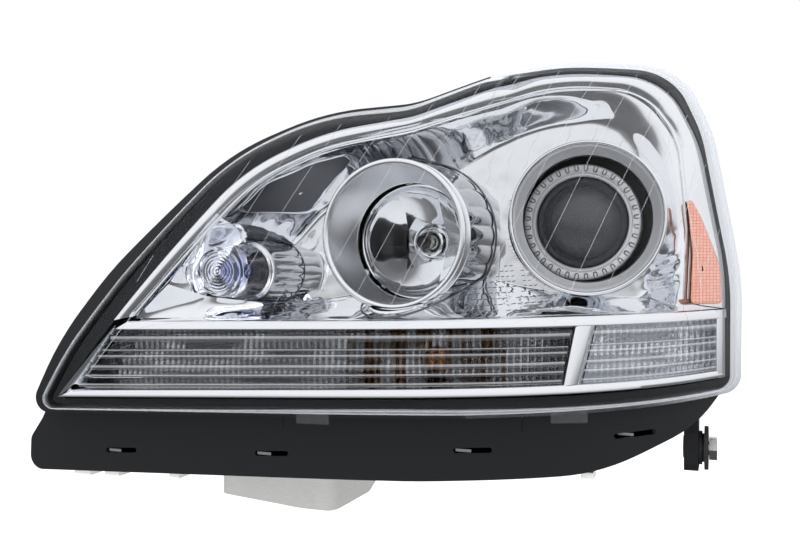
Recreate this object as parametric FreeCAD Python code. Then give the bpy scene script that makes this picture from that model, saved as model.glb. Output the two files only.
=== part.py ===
"""Left-hand car headlight assembly with a bi-xenon projector, a halogen high beam and signal lamps.

Modelled in millimetres in the lamp's own frame: +X runs outboard, +Y rearwards into the car and +Z up.
At the end every node is shifted so that the row's origin is the mouth of the outboard mounting bush.
Each function below makes one sub-part, and NODES at the bottom names the STEP files.
"""

import FreeCAD
import Part
import math
import os

Vector = FreeCAD.Vector

# ---- driving dimensions -------------------------------------------------------------------------
# Outlines are corners (x, z, radius) seen from the front, in order round the shape.
FLANGE = [
    (-301, -119, 12), (60, -108, 500), (247, -99, 12), (248, -10, 250), (226, 109.5, 120),
    (202, 162, 45), (120, 161.5, 200), (60, 152, 25), (4, 130, 80), (-72, 126, 180),
    (-145, 94, 150), (-232, -2, 300), (-272, -58, 300),
]
LENS = [
    (-287, -115, 8), (60, -105, 500), (243.5, -96, 10), (244.5, -10, 250), (222.5, 107.5, 120),
    (199.5, 158.5, 42), (120, 158, 200), (60, 148.5, 25), (4, 126.5, 80), (-72, 122, 180),
    (-141, 88, 150), (-218, -8, 300), (-260, -66, 300),
]
BODY = [
    (-311, -169, 20), (20, -158, 500), (150, -150, 150), (215, -122, 90), (238, -92, 30),
    (245, -10, 250), (222, 110, 120), (198, 158, 45), (118, 157, 200), (64, 148, 25),
    (5, 125, 80), (-68, 120, 180), (-138, 89, 150), (-224, -4, 300), (-266, -60, 200),
    (-299, -126, 10), (-310, -142, 10),
]
BEZEL = [
    (-270, -105, 3), (32, -94, 600), (233, -86, 4), (236.5, -10, 250), (216, 98, 120),
    (190, 150, 45), (120, 151, 200), (66, 141, 15), (5, 118, 80), (-66, 108, 180),
    (-128, 78, 150), (-212, -30, 300),
]
POCKET = [
    (-207, -43, 3), (15, -39, 600), (205, -33, 12), (207, 30, 60), (200, 100, 60),
    (174, 137, 45), (115, 137, 150), (66, 124, 25), (5, 104, 80), (-62, 93, 160), (-116, 68, 120),
]
TURN = [(-252, -97, 3), (15, -87.5, 400), (127, -83, 3), (134, -43.5, 3), (15, -46, 400), (-217, -51, 3)]
CORNER = [(140, -83, 3), (229, -80, 3), (230, -42, 3), (148, -41, 3)]
AMBER = [(211, -28, 3), (233, -29, 3), (232, 0, 40), (218, 38, 60), (207, 60, 2), (212, 10, 60)]
CHIN_Z = [(-224, -149), (-92, -144), (63, -134), (173, -124)]

# The curved front: a sweep along X and a rake with height, with a brow raised over the projector.
SWEEP_START, SWEEP_SPAN, SWEEP_SLOPE, WRAP_DEPTH, WRAP_POWER = -255.0, 500.0, 0.06, 150.0, 7
RAKE_START, RAKE_SPAN, RAKE_DEPTH = -108.0, 261.0, 85.0
BROW_HEIGHT, BROW_X, BROW_LEAN, BROW_BLEND = 9.0, 35.0, 0.245, 30.0
GRID_STEP = 20.0

WALL = 3.0
LENS_WALL = 3.0
LENS_SKIRT = 28.0
FOOT_START, FOOT_THICKNESS = 60.0, 3.0
TABS = [(-64.0, -38.0), (120.0, 144.0)]
TAB_DROP = 7.0
FLANGE_FRONT, FLANGE_BACK, RIM_GAP = 20.0, 37.0, 1.5
GROOVE_CLEARANCE, GROOVE_END = 1.0, 32.0
BODY_FRONT = 34.0
BEZEL_FRONT, BEZEL_PLATE = 14.0, 3.0

# Lamp axes (x, z), all parallel to +Y.
HIGH_BEAM = (-3.0, 24.5)
HIGH_BEAM_REFLECTOR = (-1.0, 20.5)
PROJECTOR = (125.0, 36.0)
SLEEVE = (134.0, 38.0)
SLEEVE_FRONT, SLEEVE_TURN = 138.0, 8.0
RING_FRONT, FUNNEL_END = 70.0, 108.0
POSITION = (-140.0, -4.0)
TURN_BULB = (30.0, -70.0)
CORNER_BULB = (176.0, -67.0)

# Rear walls of the housing (y) and the stepped plan that joins them.
INBOARD_REAR, MIDDLE_REAR, OUTBOARD_REAR, LOWER_REAR = 170.0, 240.0, 300.0, 235.0
REAR_PLAN = [
    (-360, -60, 5), (-360, INBOARD_REAR, 5), (-76, INBOARD_REAR, 10), (-62, MIDDLE_REAR, 12),
    (56, MIDDLE_REAR, 6), (64, OUTBOARD_REAR, 10), (232, OUTBOARD_REAR, 25), (268, 262, 20), (268, -60, 5),
]
SIDE_PROFILE = [(-80, -200, 5), (215, -200, 30), (312, -96, 25), (312, 128, 30), (236, 178, 50),
    (-80, 190, 5)]
STEP_Z, STEP_X, STEP_REAR = -46.0, 62.0, 165.0

# The aiming triangle: a ball pivot, the levelling motor above it and the lateral adjuster beside it.
PIVOT = (25.0, 205.0, -20.0)
LEVEL_ARM, LATERAL_ARM = 105.0, 165.0
BALL, SOCKET, SOCKET_OUTSIDE = 5.0, 5.4, 9.0
CARRIER_FRONT, CARRIER_PLATE = 194.0, 5.0
RUNNING = 0.05

BUSH = (229.0, 200.0, -147.0)
BUSH_BORE, BUSH_LENGTH = 4.2, 26.0
EAR_HOLE, EAR_PLATE = 3.5, 4.0
EARS = {"upper_inboard": (-30.0, 255.0, 112.0), "upper_outboard": (150.0, 315.0, 128.0),
    "lower_inboard": (-212.0, 185.0, -70.0)}
TURN_HOLE, CORNER_HOLE = 15.0, 13.0
HIGH_BEAM_CAP, XENON_CAP = 40.0, 48.0
BASE_PLAN_FRONT = [(-232, 40), (-168, 130), (-150, 146), (74, 146), (140, 160), (205, 186), (250, 206)]
FAR = 500.0


# ---- small geometry helpers ---------------------------------------------------------------------
def turning(corners):
    """+1 if the corners run anticlockwise in their own plane, -1 if clockwise."""
    pairs = zip(corners, corners[1:] + corners[:1])
    return 1.0 if sum(a[0] * b[1] - b[0] * a[1] for a, b in pairs) > 0 else -1.0


def grown(corners, d):
    """The same outline moved outwards by d, with its corner radii kept tangent."""
    side = turning(corners)
    count = len(corners)
    out = []
    for i, (x, z, r) in enumerate(corners):
        before, after = corners[i - 1], corners[(i + 1) % count]
        ax, az = x - before[0], z - before[1]
        bx, bz = after[0] - x, after[1] - z
        la, lb = math.hypot(ax, az), math.hypot(bx, bz)
        na, nb = (side * az / la, -side * ax / la), (side * bz / lb, -side * bx / lb)
        scale = d / (1 + na[0] * nb[0] + na[1] * nb[1])
        convex = side * (ax * bz - az * bx) > 0
        out.append((x + (na[0] + nb[0]) * scale, z + (na[1] + nb[1]) * scale,
            max(0.4, r + (d if convex else -d))))
    return out


def rounded(corners, place):
    """A closed wire of lines and tangent arcs. place turns a plane point (a, b) into a vector."""
    count = len(corners)
    ends = []
    for i, (x, z, r) in enumerate(corners):
        before, after = corners[i - 1], corners[(i + 1) % count]
        la, lb = math.hypot(before[0] - x, before[1] - z), math.hypot(after[0] - x, after[1] - z)
        ua = ((before[0] - x) / la, (before[1] - z) / la)
        ub = ((after[0] - x) / lb, (after[1] - z) / lb)
        half = 0.5 * math.acos(max(-1.0, min(1.0, ua[0] * ub[0] + ua[1] * ub[1])))
        reach = min(r / math.tan(half), 0.47 * la, 0.47 * lb)
        radius = reach * math.tan(half)
        away = radius / math.sin(half) - radius
        mid = (ua[0] + ub[0], ua[1] + ub[1])
        size = math.hypot(*mid) or 1.0
        ends.append((
            (x + ua[0] * reach, z + ua[1] * reach),
            (x + mid[0] / size * away, z + mid[1] / size * away),
            (x + ub[0] * reach, z + ub[1] * reach),
        ))
    edges = []
    for i, (start, middle, end) in enumerate(ends):
        edges.append(Part.Arc(place(*start), place(*middle), place(*end)).toShape())
        edges.append(Part.LineSegment(place(*end), place(*ends[(i + 1) % count][0])).toShape())
    return Part.Wire(edges)


def along_y(corners, low=-60.0, high=400.0):
    wire = rounded(corners, lambda x, z: Vector(x, low, z))
    return Part.Face(wire).extrude(Vector(0, high - low, 0))


def along_z(corners, low=-300.0, high=300.0):
    wire = rounded(corners, lambda x, y: Vector(x, y, low))
    return Part.Face(wire).extrude(Vector(0, 0, high - low))


def along_x(corners, low=-400.0, high=400.0):
    wire = rounded(corners, lambda y, z: Vector(low, y, z))
    return Part.Face(wire).extrude(Vector(high - low, 0, 0))


def box(x, y, z):
    """A box from three (low, high) pairs."""
    return Part.makeBox(x[1] - x[0], y[1] - y[0], z[1] - z[0], Vector(x[0], y[0], z[0]))


def rod(axis, low, high, radius):
    """A cylinder along +Y on a lamp axis (x, z)."""
    return Part.makeCylinder(radius, high - low, Vector(axis[0], low, axis[1]), Vector(0, 1, 0))


def pipe(axis, low, high, outer, inner):
    return rod(axis, low, high, outer).cut(rod(axis, low - 1, high + 1, inner))


def turned(axis, profile):
    """A solid of revolution about a lamp axis from (radius, y) points."""
    points = [Vector(axis[0] + radius, y, axis[1]) for radius, y in profile]
    face = Part.Face(Part.makePolygon(points + points[:1]))
    return face.revolve(Vector(axis[0], 0, axis[1]), Vector(0, 1, 0), 360)


def joined(shapes):
    first, *rest = shapes
    return first.fuse(rest).removeSplitter() if rest else first


def smooth(t):
    t = max(0.0, min(1.0, t))
    return t * t * (3 - 2 * t)


def front_y(x, z):
    """Depth of the lens's outer surface at (x, z)."""
    s = max(0.0, (x - SWEEP_START) / SWEEP_SPAN)
    t = max(0.0, (z - RAKE_START) / RAKE_SPAN)
    brow_edge = BROW_X + BROW_LEAN * z
    brow = smooth((x - brow_edge) / BROW_BLEND) * smooth((z - 20) / 80)
    return (
        SWEEP_SLOPE * (x - SWEEP_START) + WRAP_DEPTH * s**WRAP_POWER + RAKE_DEPTH * t * t - BROW_HEIGHT * brow
    )


def front_sheet():
    """One smooth face through the front surface, wider than the lamp."""
    rows = []
    for i in range(32):
        x = -345 + GRID_STEP * i
        rows.append([Vector(x, front_y(x, z), z) for z in [-225 + GRID_STEP * k for k in range(22)]])
    surface = Part.BSplineSurface()
    surface.interpolate(rows)
    return surface.toShape()


SHEET = front_sheet()


def between(near, far):
    """The curved slab that lies between two depths behind the front surface."""
    sheet = SHEET.copy()
    sheet.translate(Vector(0, near, 0))
    return sheet.extrude(Vector(0, far - near, 0))


def ahead_of_base(gap=0.0):
    """The space in front of the bezel's rear wall."""
    plan = [(x, y - gap, 0.5) for x, y in BASE_PLAN_FRONT]
    return along_z([(-300, -60, 1), (-300, 30, 1)] + plan + [(300, 226, 1), (300, -60, 1)])


# ---- casing -------------------------------------------------------------------------------------
def housing_block(inset):
    """The solid outer form of the housing, or its cavity when inset is the wall."""
    block = along_y(grown(BODY, -inset)).common(between(BODY_FRONT + inset, BODY_FRONT + FAR))
    block = block.common(along_z(grown(REAR_PLAN, -inset))).common(along_x(grown(SIDE_PROFILE, -inset)))
    step = box((-FAR, STEP_X + inset), (STEP_REAR - inset, FAR), (-FAR, STEP_Z + inset))
    lower = box((STEP_X - 40, FAR), (LOWER_REAR - inset, FAR), (-FAR, STEP_Z + inset))
    return block.cut([step, lower])


def cap_collar(axis, wall_y, hole, length):
    return pipe(axis, wall_y - 2, wall_y + length, hole + 3, hole)


def bolt_ear(x, y, z):
    """A bolt ear on a rear wall: a plate round the hole at (x, y) with two webs below it."""
    corners = [(x - 13, y - 26, 3), (x - 13, y + 13, 10), (x + 13, y + 13, 10), (x + 13, y - 26, 3)]
    plate = along_z(corners, z - EAR_PLATE, z)
    profile = [(y - 26, z - 28, 1), (y - 26, z - 2, 1), (y + 6, z - 2, 1), (y + 6, z - 6, 1),
        (y - 14, z - 28, 1)]
    webs = [along_x(profile, x + side - 1.2, x + side + 1.2) for side in (-10, 10)]
    return [plate] + webs


def mounting_arm():
    """The arm that hangs from the outboard lower corner and holds the mounting bush."""
    x, y, z = BUSH
    foot = [(y - 17, z - 17, 6), (y + 17, z - 17, 6), (y + 15, z + 14, 4)]
    root = [(y + 24, z + 52, 4), (y - 30, z + 52, 4), (y - 15, z + 14, 4)]
    return along_x(foot + root, x - 25, x - 14)


def lens_channel(gap):
    """The groove round the lens's skirt, gap wider than the skirt on both sides."""
    return along_y(grown(LENS, gap)).cut(along_y(grown(LENS, -LENS_WALL - gap)))


def rear_housing():
    outer = housing_block(0.0)
    mouth = along_y(grown(BEZEL, RIM_GAP))
    flange = along_y(FLANGE).cut(mouth).common(between(FLANGE_FRONT, FLANGE_BACK))
    groove = lens_channel(GROOVE_CLEARANCE).common(between(FLANGE_FRONT - 5, GROOVE_END))
    window = mouth.common(between(0, BODY_FRONT + 12))
    shell = outer.fuse(flange)
    arm = mounting_arm()
    ears = [piece for place in EARS.values() for piece in bolt_ear(*place)]
    collars = [
        cap_collar(HIGH_BEAM_REFLECTOR, MIDDLE_REAR, HIGH_BEAM_CAP, 10.0),
        cap_collar(PROJECTOR, OUTBOARD_REAR, XENON_CAP, 10.0),
        cap_collar(TURN_BULB, STEP_REAR, TURN_HOLE, 6.0),
        cap_collar(CORNER_BULB, LOWER_REAR, CORNER_HOLE, 6.0),
    ]
    shelf = [
        along_z([(-206, 128, 6), (-206, 226, 10), (-56, 226, 10), (-56, 98, 6)], -166.5, -162.5),
        box((-204, -202), (150, 222), (-163, -150)),
        box((-62, -60), (150, 222), (-163, -150)),
        box((-134, -132), (150, 222), (-163, -146)),
    ]
    fins = [box((x - 1, x + 1), (INBOARD_REAR - 2, INBOARD_REAR + 7), (-48, top)) for x, top in
            ((-200, -8), (-170, 26), (-140, 58), (-110, 82))]
    fins.append(box((-190, -96), (INBOARD_REAR - 2, INBOARD_REAR + 7), (-36, -34)))
    fins += [box((x - 1, x + 1), (STEP_REAR - 2, STEP_REAR + 7), (-150, -56)) for x in (-185, -150, -70,
        -35)]
    tabs = [
        along_y([(-222, -1, 2), (-214, -1, 2), (-208, 14, 2), (-216, 14, 2)], 45, 52),
        box((-104, -82), (44, 47), (-124, -110)),
        box((78, 98), (66, 69), (-118, -104)),
    ]
    shell = shell.fuse([arm] + collars + shelf + fins + ears + tabs)
    cavity = housing_block(WALL)
    holes = [
        rod(HIGH_BEAM_REFLECTOR, MIDDLE_REAR - 5, MIDDLE_REAR + 20, HIGH_BEAM_CAP),
        rod(PROJECTOR, OUTBOARD_REAR - 5, OUTBOARD_REAR + 20, XENON_CAP),
        rod(TURN_BULB, STEP_REAR - 5, STEP_REAR + 20, TURN_HOLE),
        rod(CORNER_BULB, LOWER_REAR - 5, LOWER_REAR + 20, CORNER_HOLE),
        rod((PIVOT[0], PIVOT[2] + LEVEL_ARM), MIDDLE_REAR - 5, MIDDLE_REAR + 5, 14.0),
        rod((PIVOT[0] + LATERAL_ARM, PIVOT[2]), OUTBOARD_REAR - 5, OUTBOARD_REAR + 5, 7.0),
        Part.makeCylinder(9.0, 40, Vector(BUSH[0] - 30, BUSH[1], BUSH[2]), Vector(1, 0, 0)),
    ]
    holes += [Part.makeCylinder(EAR_HOLE, 20, Vector(x, y, z - 10)) for x, y, z in EARS.values()]
    slots = []
    for x, z in CHIN_Z:
        slots.append(along_y([(x - 14, z - 2.2, 2), (x + 14, z - 0.8, 2), (x + 14, z + 3.2, 2),
            (x - 14, z + 1.8, 2)],
                             -20, front_y(x, z) + BODY_FRONT + 14))
    shell = shell.cut([cavity, window, groove] + holes + slots)
    # What stands inside the cavity: the pivot boss on the step's roof.
    boss = Part.makeCylinder(9.0, 9.0, Vector(PIVOT[0], PIVOT[1], STEP_Z + 1))
    boss = boss.cut(Part.makeCylinder(4.0 + RUNNING, 20.0, Vector(PIVOT[0], PIVOT[1], STEP_Z + 4)))
    return joined([shell, boss])


def lens_cover():
    """Clear cover: a curved face, a skirt, a foot over the outboard rim and two tabs below."""
    whole = along_y(LENS)
    front = whole.common(between(0, LENS_WALL))
    skirt = whole.cut(along_y(grown(LENS, -LENS_WALL))).common(between(0, LENS_SKIRT))
    foot_space = between(FLANGE_FRONT - FOOT_THICKNESS, FLANGE_FRONT - 0.2)
    band = along_y(FLANGE).cut(along_y(grown(LENS, -LENS_WALL / 2)))
    foot = band.common(box((FOOT_START, FAR), (-FAR, FAR), (-FAR, FAR))).common(foot_space)
    pieces = [front, skirt, foot]
    for x0, x1 in TABS:
        z = -108.0 + 0.03 * (x0 + x1) / 2
        tab = along_y([(x0, z - TAB_DROP, 1.5), (x1, z - TAB_DROP, 1.5), (x1, z + 4, 1.5),
            (x0, z + 4, 1.5)])
        pieces.append(tab.common(foot_space))
    return joined(pieces)


def lens_seal():
    ring = lens_channel(GROOVE_CLEARANCE - 0.1)
    return ring.common(between(LENS_SKIRT + 0.1, GROOVE_END - 0.1))


# ---- fixed trim ---------------------------------------------------------------------------------
def bezel():
    """Chromed inner frame: face plate, rim skirt, pocket walls and the pierced rear wall."""
    windows = [along_y(shape) for shape in (POCKET, TURN, CORNER)]
    amber = along_y(grown(AMBER, 0.6))
    whole = along_y(BEZEL)
    plate = whole.cut(windows + [amber]).common(between(BEZEL_FRONT, BEZEL_FRONT + BEZEL_PLATE))
    skirt = whole.cut(along_y(grown(BEZEL, -2))).common(between(BEZEL_FRONT, 30))
    pocket = along_y(grown(POCKET, 2))
    walls = pocket.cut(along_y(POCKET)).common(between(BEZEL_FRONT + 1, BEZEL_FRONT + FAR))
    walls = walls.common(ahead_of_base(-2))
    back = pocket.common(ahead_of_base(-2)).cut(ahead_of_base(0.0))
    holes = [
        rod(HIGH_BEAM_REFLECTOR, 60, 260, 55.0),
        rod(PROJECTOR, 60, 260, 55.0),
        rod(POSITION, 60, 260, 22.0),
    ]
    return joined([plate, skirt, walls, back.cut(holes)])


def skew_cone(axis_a, y_a, radius_a, axis_b, y_b, radius_b):
    """Solid between two circles whose centres need not line up."""
    circles = []
    for (x, z), y, radius in ((axis_a, y_a, radius_a), (axis_b, y_b, radius_b)):
        circles.append(Part.Wire(Part.makeCircle(radius, Vector(x, y, z), Vector(0, 1, 0))))
    return Part.makeLoft(circles, True)


def high_beam_trim():
    """The bright ring with its fluted barrel outside and a funnel inside."""
    y = RING_FRONT
    barrel = turned(HIGH_BEAM, [(57.5, y), (60.5, 145.6), (58.7, 145.6), (55.5, y + 4), (54, y + 2)])
    bead = turned(HIGH_BEAM, [(57.5, y), (57, y - 1.3), (55.5, y - 1.5), (54, y), (53.6, y + 3),
        (57.5, y + 4)])
    funnel = skew_cone(HIGH_BEAM, y + 1, 55.4, HIGH_BEAM_REFLECTOR, FUNNEL_END, 48.6)
    hollow = skew_cone(HIGH_BEAM, y - 1, 54.3, HIGH_BEAM_REFLECTOR, FUNNEL_END + 1, 46.9)
    return joined([barrel, bead, funnel.cut(hollow)]).common(along_y(grown(POCKET, -0.4)))


def projector_sleeve():
    """Conical trim sleeve, turned a little outboard, that runs back to the bezel's rear wall."""
    front = SLEEVE_FRONT
    cone = turned(SLEEVE, [(60.5, front), (59.0, front - 1.5), (57.5, front), (50, front + 22),
        (51.8, front + 22), (59.5, front + 3)])
    wall = turned(SLEEVE, [(60.5, front), (63, front + 8), (63, front + 70), (61, front + 70),
        (61, front + 8), (59.3, front + 2)])
    shape = joined([cone, wall])
    shape.rotate(Vector(SLEEVE[0], front, SLEEVE[1]), Vector(0, 0, 1), SLEEVE_TURN)
    return shape.common(ahead_of_base(0.4))


def position_barrel():
    """Fluted chrome barrel behind the position lamp."""
    shape = pipe(POSITION, 94, 145.6, 26.0, 24.0)
    flutes = []
    for i in range(20):
        angle = math.radians(18 * i)
        centre = (POSITION[0] + 26.4 * math.cos(angle), POSITION[1] + 26.4 * math.sin(angle))
        flutes.append(rod(centre, 96, 144, 1.4))
    return shape.cut(flutes).common(ahead_of_base(0.4))


def position_reflector():
    """Faceted chrome tray round the position lamp, in the inboard corner of the pocket."""
    outline = [(-198, -40, 4), (-96, -39, 6), (-100, 20, 20), (-128, 44, 10), (-150, 30, 30)]
    tray = along_y(outline).common(between(40, 42))
    lip = along_y(outline).cut(along_y(grown(outline, -2))).common(between(36, 42))
    return joined([tray, lip]).cut(rod(POSITION, 0, 200, 27.0)).common(along_y(grown(POCKET, -0.5)))


def position_tube():
    """Clear stepped tube with a ringed front lens."""
    body = turned(POSITION, [
        (0, 46), (6, 45), (17, 46), (19.5, 49), (20, 60), (22.5, 88), (24.5, 89), (24.5, 93),
        (20.5, 93), (18, 60), (17.3, 51), (0, 49),
    ])
    rings = [pipe(POSITION, 44.4, 46.5, 4.0 + 3.5 * i, 2.6 + 3.5 * i) for i in range(4)]
    return joined([body] + rings)


def position_holder():
    """Twist-in bulb holder of the position lamp."""
    stem = turned(POSITION, [(0, 97), (9, 97), (9, 102), (14, 104), (14, 150), (21, 150.5), (21, 154),
        (12, 156), (12, 162), (0, 162)])
    grip = box((POSITION[0] - 10, POSITION[0] + 10), (156, 166), (POSITION[1] - 2, POSITION[1] + 2))
    lugs = [box((POSITION[0] - 18, POSITION[0] + 18), (143.5, 145.5), (POSITION[1] - 3, POSITION[1] + 3))]
    return joined([stem, grip] + lugs).cut(rod(POSITION, 96, 110, 4.2))


def position_bulb():
    """Wedge-base bulb with its capless foot."""
    return turned(POSITION, [(0, 76), (3.5, 77.5), (5, 81), (5, 90), (4, 96), (4, 109), (0, 109)])


def bars(outline_low, outline_high, shares, near, far):
    """Horizontal bars between a lower and an upper edge, each given as ((x, z), (x, z))."""
    made = []
    (xa, za), (xb, zb) = outline_low
    (xc, zc), (xd, zd) = outline_high
    for share, height in shares:
        left = (xa + (xc - xa) * share, za + (zc - za) * share)
        right = (xb + (xd - xb) * share, zb + (zd - zb) * share)
        h = height / 2
        made.append([(left[0], left[1] - h, 0.6), (right[0], right[1] - h, 0.6),
                     (right[0], right[1] + h, 0.6), (left[0], left[1] + h, 0.6)])
    return [along_y(c).common(between(near, far)) for c in made]


TURN_BARS = [(0.10, 2.0), (0.28, 4.0), (0.47, 4.5), (0.68, 2.2), (0.86, 3.4)]


def turn_optic():
    """Clear inner optic of the indicator, with its long horizontal bars."""
    plate = along_y(grown(TURN, 2)).common(between(19, 21.5))
    made = bars(((-247, -95), (125, -82)), ((-214, -52.5), (131, -45)), TURN_BARS, 15.5, 19.5)
    return joined([plate] + made)


def lamp_bowl(outline, near, far, hole):
    """A reflector box: side walls and a pierced back that follow the front surface."""
    outside, inside = along_y(grown(outline, 2)), along_y(grown(outline, 0.4))
    walls = outside.cut(inside).common(between(near, far))
    back = outside.common(between(far - 2, far))
    return joined([walls, back]).cut(rod(hole, -20, 260, 12.5))


def turn_reflector():
    return lamp_bowl(TURN, 22, 64, TURN_BULB)


def corner_optic():
    plate = along_y(grown(CORNER, 2)).common(between(19, 21.5))
    made = bars(((142, -82), (227, -79)), ((149, -42.5), (228, -43.5)), TURN_BARS, 15.5, 19.5)
    return joined([plate] + made)


def corner_reflector():
    return lamp_bowl(CORNER, 22, 54, CORNER_BULB)


def bayonet_holder(axis, front, wall_y, radius):
    """A bulb holder that goes through the housing wall and turns to lock."""
    stem = turned(axis, [
        (0, front), (10.5, front), (10.5, wall_y - 6), (radius - 0.4, wall_y - 5),
        (radius - 0.4, wall_y + 6.4),
        (radius + 5, wall_y + 6.6), (radius + 5, wall_y + 11), (radius - 3, wall_y + 13),
        (radius - 3, wall_y + 20), (0, wall_y + 20),
    ])
    grips = []
    for i in range(8):
        angle = math.radians(45 * i)
        centre = (axis[0] + (radius + 5) * math.cos(angle), axis[1] + (radius + 5) * math.sin(angle))
        grips.append(rod(centre, wall_y + 6.4, wall_y + 12, 2.0))
    socket = box((axis[0] - 7, axis[0] + 7), (wall_y + 12, wall_y + 21), (axis[1] - 4.5, axis[1] + 4.5))
    return stem.cut(grips + [socket, rod(axis, front - 1, front + 14, 7.8)])


def bayonet_bulb(axis, front):
    """Amber bulb with its metal cap seated in a holder whose mouth is at front."""
    return turned(axis, [
        (0, front - 30), (5, front - 28.5), (9, front - 24), (10, front - 19), (8.5, front - 12),
        (7.6, front - 6),
        (7.6, front + 12), (0, front + 12),
    ])


TURN_HOLDER_FRONT, CORNER_HOLDER_FRONT = 98.0, 178.0


def side_reflector():
    """Amber retroreflector behind the lens at the outboard end."""
    return along_y(AMBER).common(between(8, 16.5))


# ---- aiming gear --------------------------------------------------------------------------------
def carrier_frame():
    """Pierced plate that carries both beam modules, with a ball socket at each aiming point."""
    x, y, z = PIVOT
    outline = [
        (-44, -24, 14), (40, -30, 10), (150, -28, 8), (x + LATERAL_ARM + 13, -34, 9),
        (x + LATERAL_ARM + 13, -4, 9),
        (192, 40, 30), (182, 94, 20), (110, 101, 20), (40, 104, 12), (8, 104, 12), (-46, 72, 20),
    ]
    low, high = CARRIER_FRONT, CARRIER_FRONT + CARRIER_PLATE
    plate = along_y(outline, low, high)
    rim = along_y(outline, low, high + 7).cut(along_y(grown(outline, -2.2), low - 1, high + 8))
    rim = rim.cut(along_y(grown([(x - 12, 70, 3), (x + 12, 70, 3), (x + 12, 110, 3), (x - 12, 110, 3)],
        0), low - 1, high + 9))
    points = [(x, z), (x, z + LEVEL_ARM), (x + LATERAL_ARM, z)]
    sockets = [rod(point, high - 1, y + 6, SOCKET_OUTSIDE) for point in points]
    shape = joined([plate, rim] + sockets)
    shape = shape.cut([rod(HIGH_BEAM_REFLECTOR, low - 5, high + 20, 33.0),
        rod(PROJECTOR, low - 5, high + 20, 47.0)])
    cuts = [Part.makeSphere(SOCKET, Vector(px, y, pz)) for px, pz in points[1:]]
    cuts += [rod(point, y, y + 10, 4.7) for point in points[1:]]
    cuts += [Part.makeSphere(6.0 + RUNNING * 2, Vector(x, y, z)),
        Part.makeCylinder(5.2, 30, Vector(x, y, z - 34))]
    cuts += [box((x - 5.2, x + 5.2), (y, y + 12), (z - 14, z - 4))]
    return shape.cut(cuts)


def pivot_ball():
    """Ball on a vertical pin: the pin turns in the housing boss and the ball sits in the carrier."""
    x, y, z = PIVOT
    ball = Part.makeSphere(6.0, Vector(x, y, z))
    return joined([ball, Part.makeCylinder(4.0, 21.6, Vector(x, y, z - 21.6))])


def levelling_spindle():
    x, y, z = PIVOT
    ball = Part.makeSphere(BALL, Vector(x, y, z + LEVEL_ARM))
    return joined([ball, rod((x, z + LEVEL_ARM), y, y + 44, 2.6)])


def levelling_motor():
    """Sealed actuator that plugs through the rear wall and drives the spindle."""
    axis = (PIVOT[0], PIVOT[2] + LEVEL_ARM)
    wall = MIDDLE_REAR
    neck = pipe(axis, wall - 8, wall + 8, 13.7, 2.6 + RUNNING * 2)
    case = along_y([(axis[0] - 19, axis[1] - 17, 7), (axis[0] + 23, axis[1] - 17, 7),
        (axis[0] + 23, axis[1] + 19, 7),
                    (axis[0] - 19, axis[1] + 19, 7)], wall + 0.3, wall + 28)
    lid = along_y([(axis[0] - 17, axis[1] - 15, 6), (axis[0] + 21, axis[1] - 15, 6),
        (axis[0] + 21, axis[1] + 17, 6),
                   (axis[0] - 17, axis[1] + 17, 6)], wall + 28, wall + 31)
    socket = box((axis[0] - 12, axis[0] + 12), (wall + 12, wall + 44), (axis[1] + 2, axis[1] + 16))
    shape = joined([neck, case, lid, socket])
    return shape.cut([
        rod(axis, wall - 10, wall + 20, 2.6 + RUNNING * 2),
        box((axis[0] - 10.2, axis[0] + 10.2), (wall + 33, wall + 45), (axis[1] + 3.8, axis[1] + 14.2)),
    ])


def lateral_slider():
    x, y, z = PIVOT
    ball = Part.makeSphere(BALL, Vector(x + LATERAL_ARM, y, z))
    return joined([ball, rod((x + LATERAL_ARM, z), y, y + 62, 2.6)])


def lateral_screw():
    """Hollow adjuster screw: it turns in the rear wall, and its thread drives the slider."""
    axis = (PIVOT[0] + LATERAL_ARM, PIVOT[2])
    wall = OUTBOARD_REAR
    shape = turned(axis, [
        (2.7, PIVOT[1] + 38), (5, PIVOT[1] + 38), (5, wall - 12), (9, wall - 11), (9, wall - 3.3),
        (6.9, wall - 3.2),
        (6.9, wall + 0.2), (10, wall + 0.4), (10, wall + 8), (8, wall + 10), (0, wall + 10),
        (0, PIVOT[1] + 74), (2.7, PIVOT[1] + 74),
    ])
    teeth = []
    for i in range(12):
        angle = math.radians(30 * i)
        teeth.append(rod((axis[0] + 10.2 * math.cos(angle), axis[1] + 10.2 * math.sin(angle)), wall + 1.5,
            wall + 11, 1.5))
    hexagon = [(axis[0] + 4.6 * math.cos(math.radians(60 * i)),
        axis[1] + 4.6 * math.sin(math.radians(60 * i)), 0.4) for i in range(6)]
    return shape.cut(teeth + [along_y(hexagon, wall + 4, wall + 12)])


# ---- high beam module ---------------------------------------------------------------------------
def bowl_points(rim, throat, front, back, steps, power):
    """(radius, y) points of a dished wall from its rim back to its throat."""
    points = []
    for i in range(steps + 1):
        t = i / steps
        points.append((rim + (throat - rim) * t, front + (back - front) * t**power))
    return points


def high_beam_reflector():
    inner = bowl_points(44.5, 9.0, 118, 163, 12, 0.55)
    outer = [(radius + 1.6, y + 1.8) for radius, y in reversed(inner)]
    profile = [(47.0, 118)] + inner + [(9.0, 172), (16, 172), (16, 165.5)] + outer[1:] + [(47.0, 121)]
    bowl = turned(HIGH_BEAM_REFLECTOR, profile)
    mouth = turned(HIGH_BEAM_REFLECTOR, [(0, 118), (44.5, 118)] + inner[1:] + [(0, 163)])
    lugs = []
    for dx, dz in ((-34, -16), (30, 27), (-29, 29)):
        lugs.append(rod((HIGH_BEAM_REFLECTOR[0] + dx, HIGH_BEAM_REFLECTOR[1] + dz), 126, CARRIER_FRONT,
            4.5))
    return joined([bowl] + [lug.cut(mouth) for lug in lugs])


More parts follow.
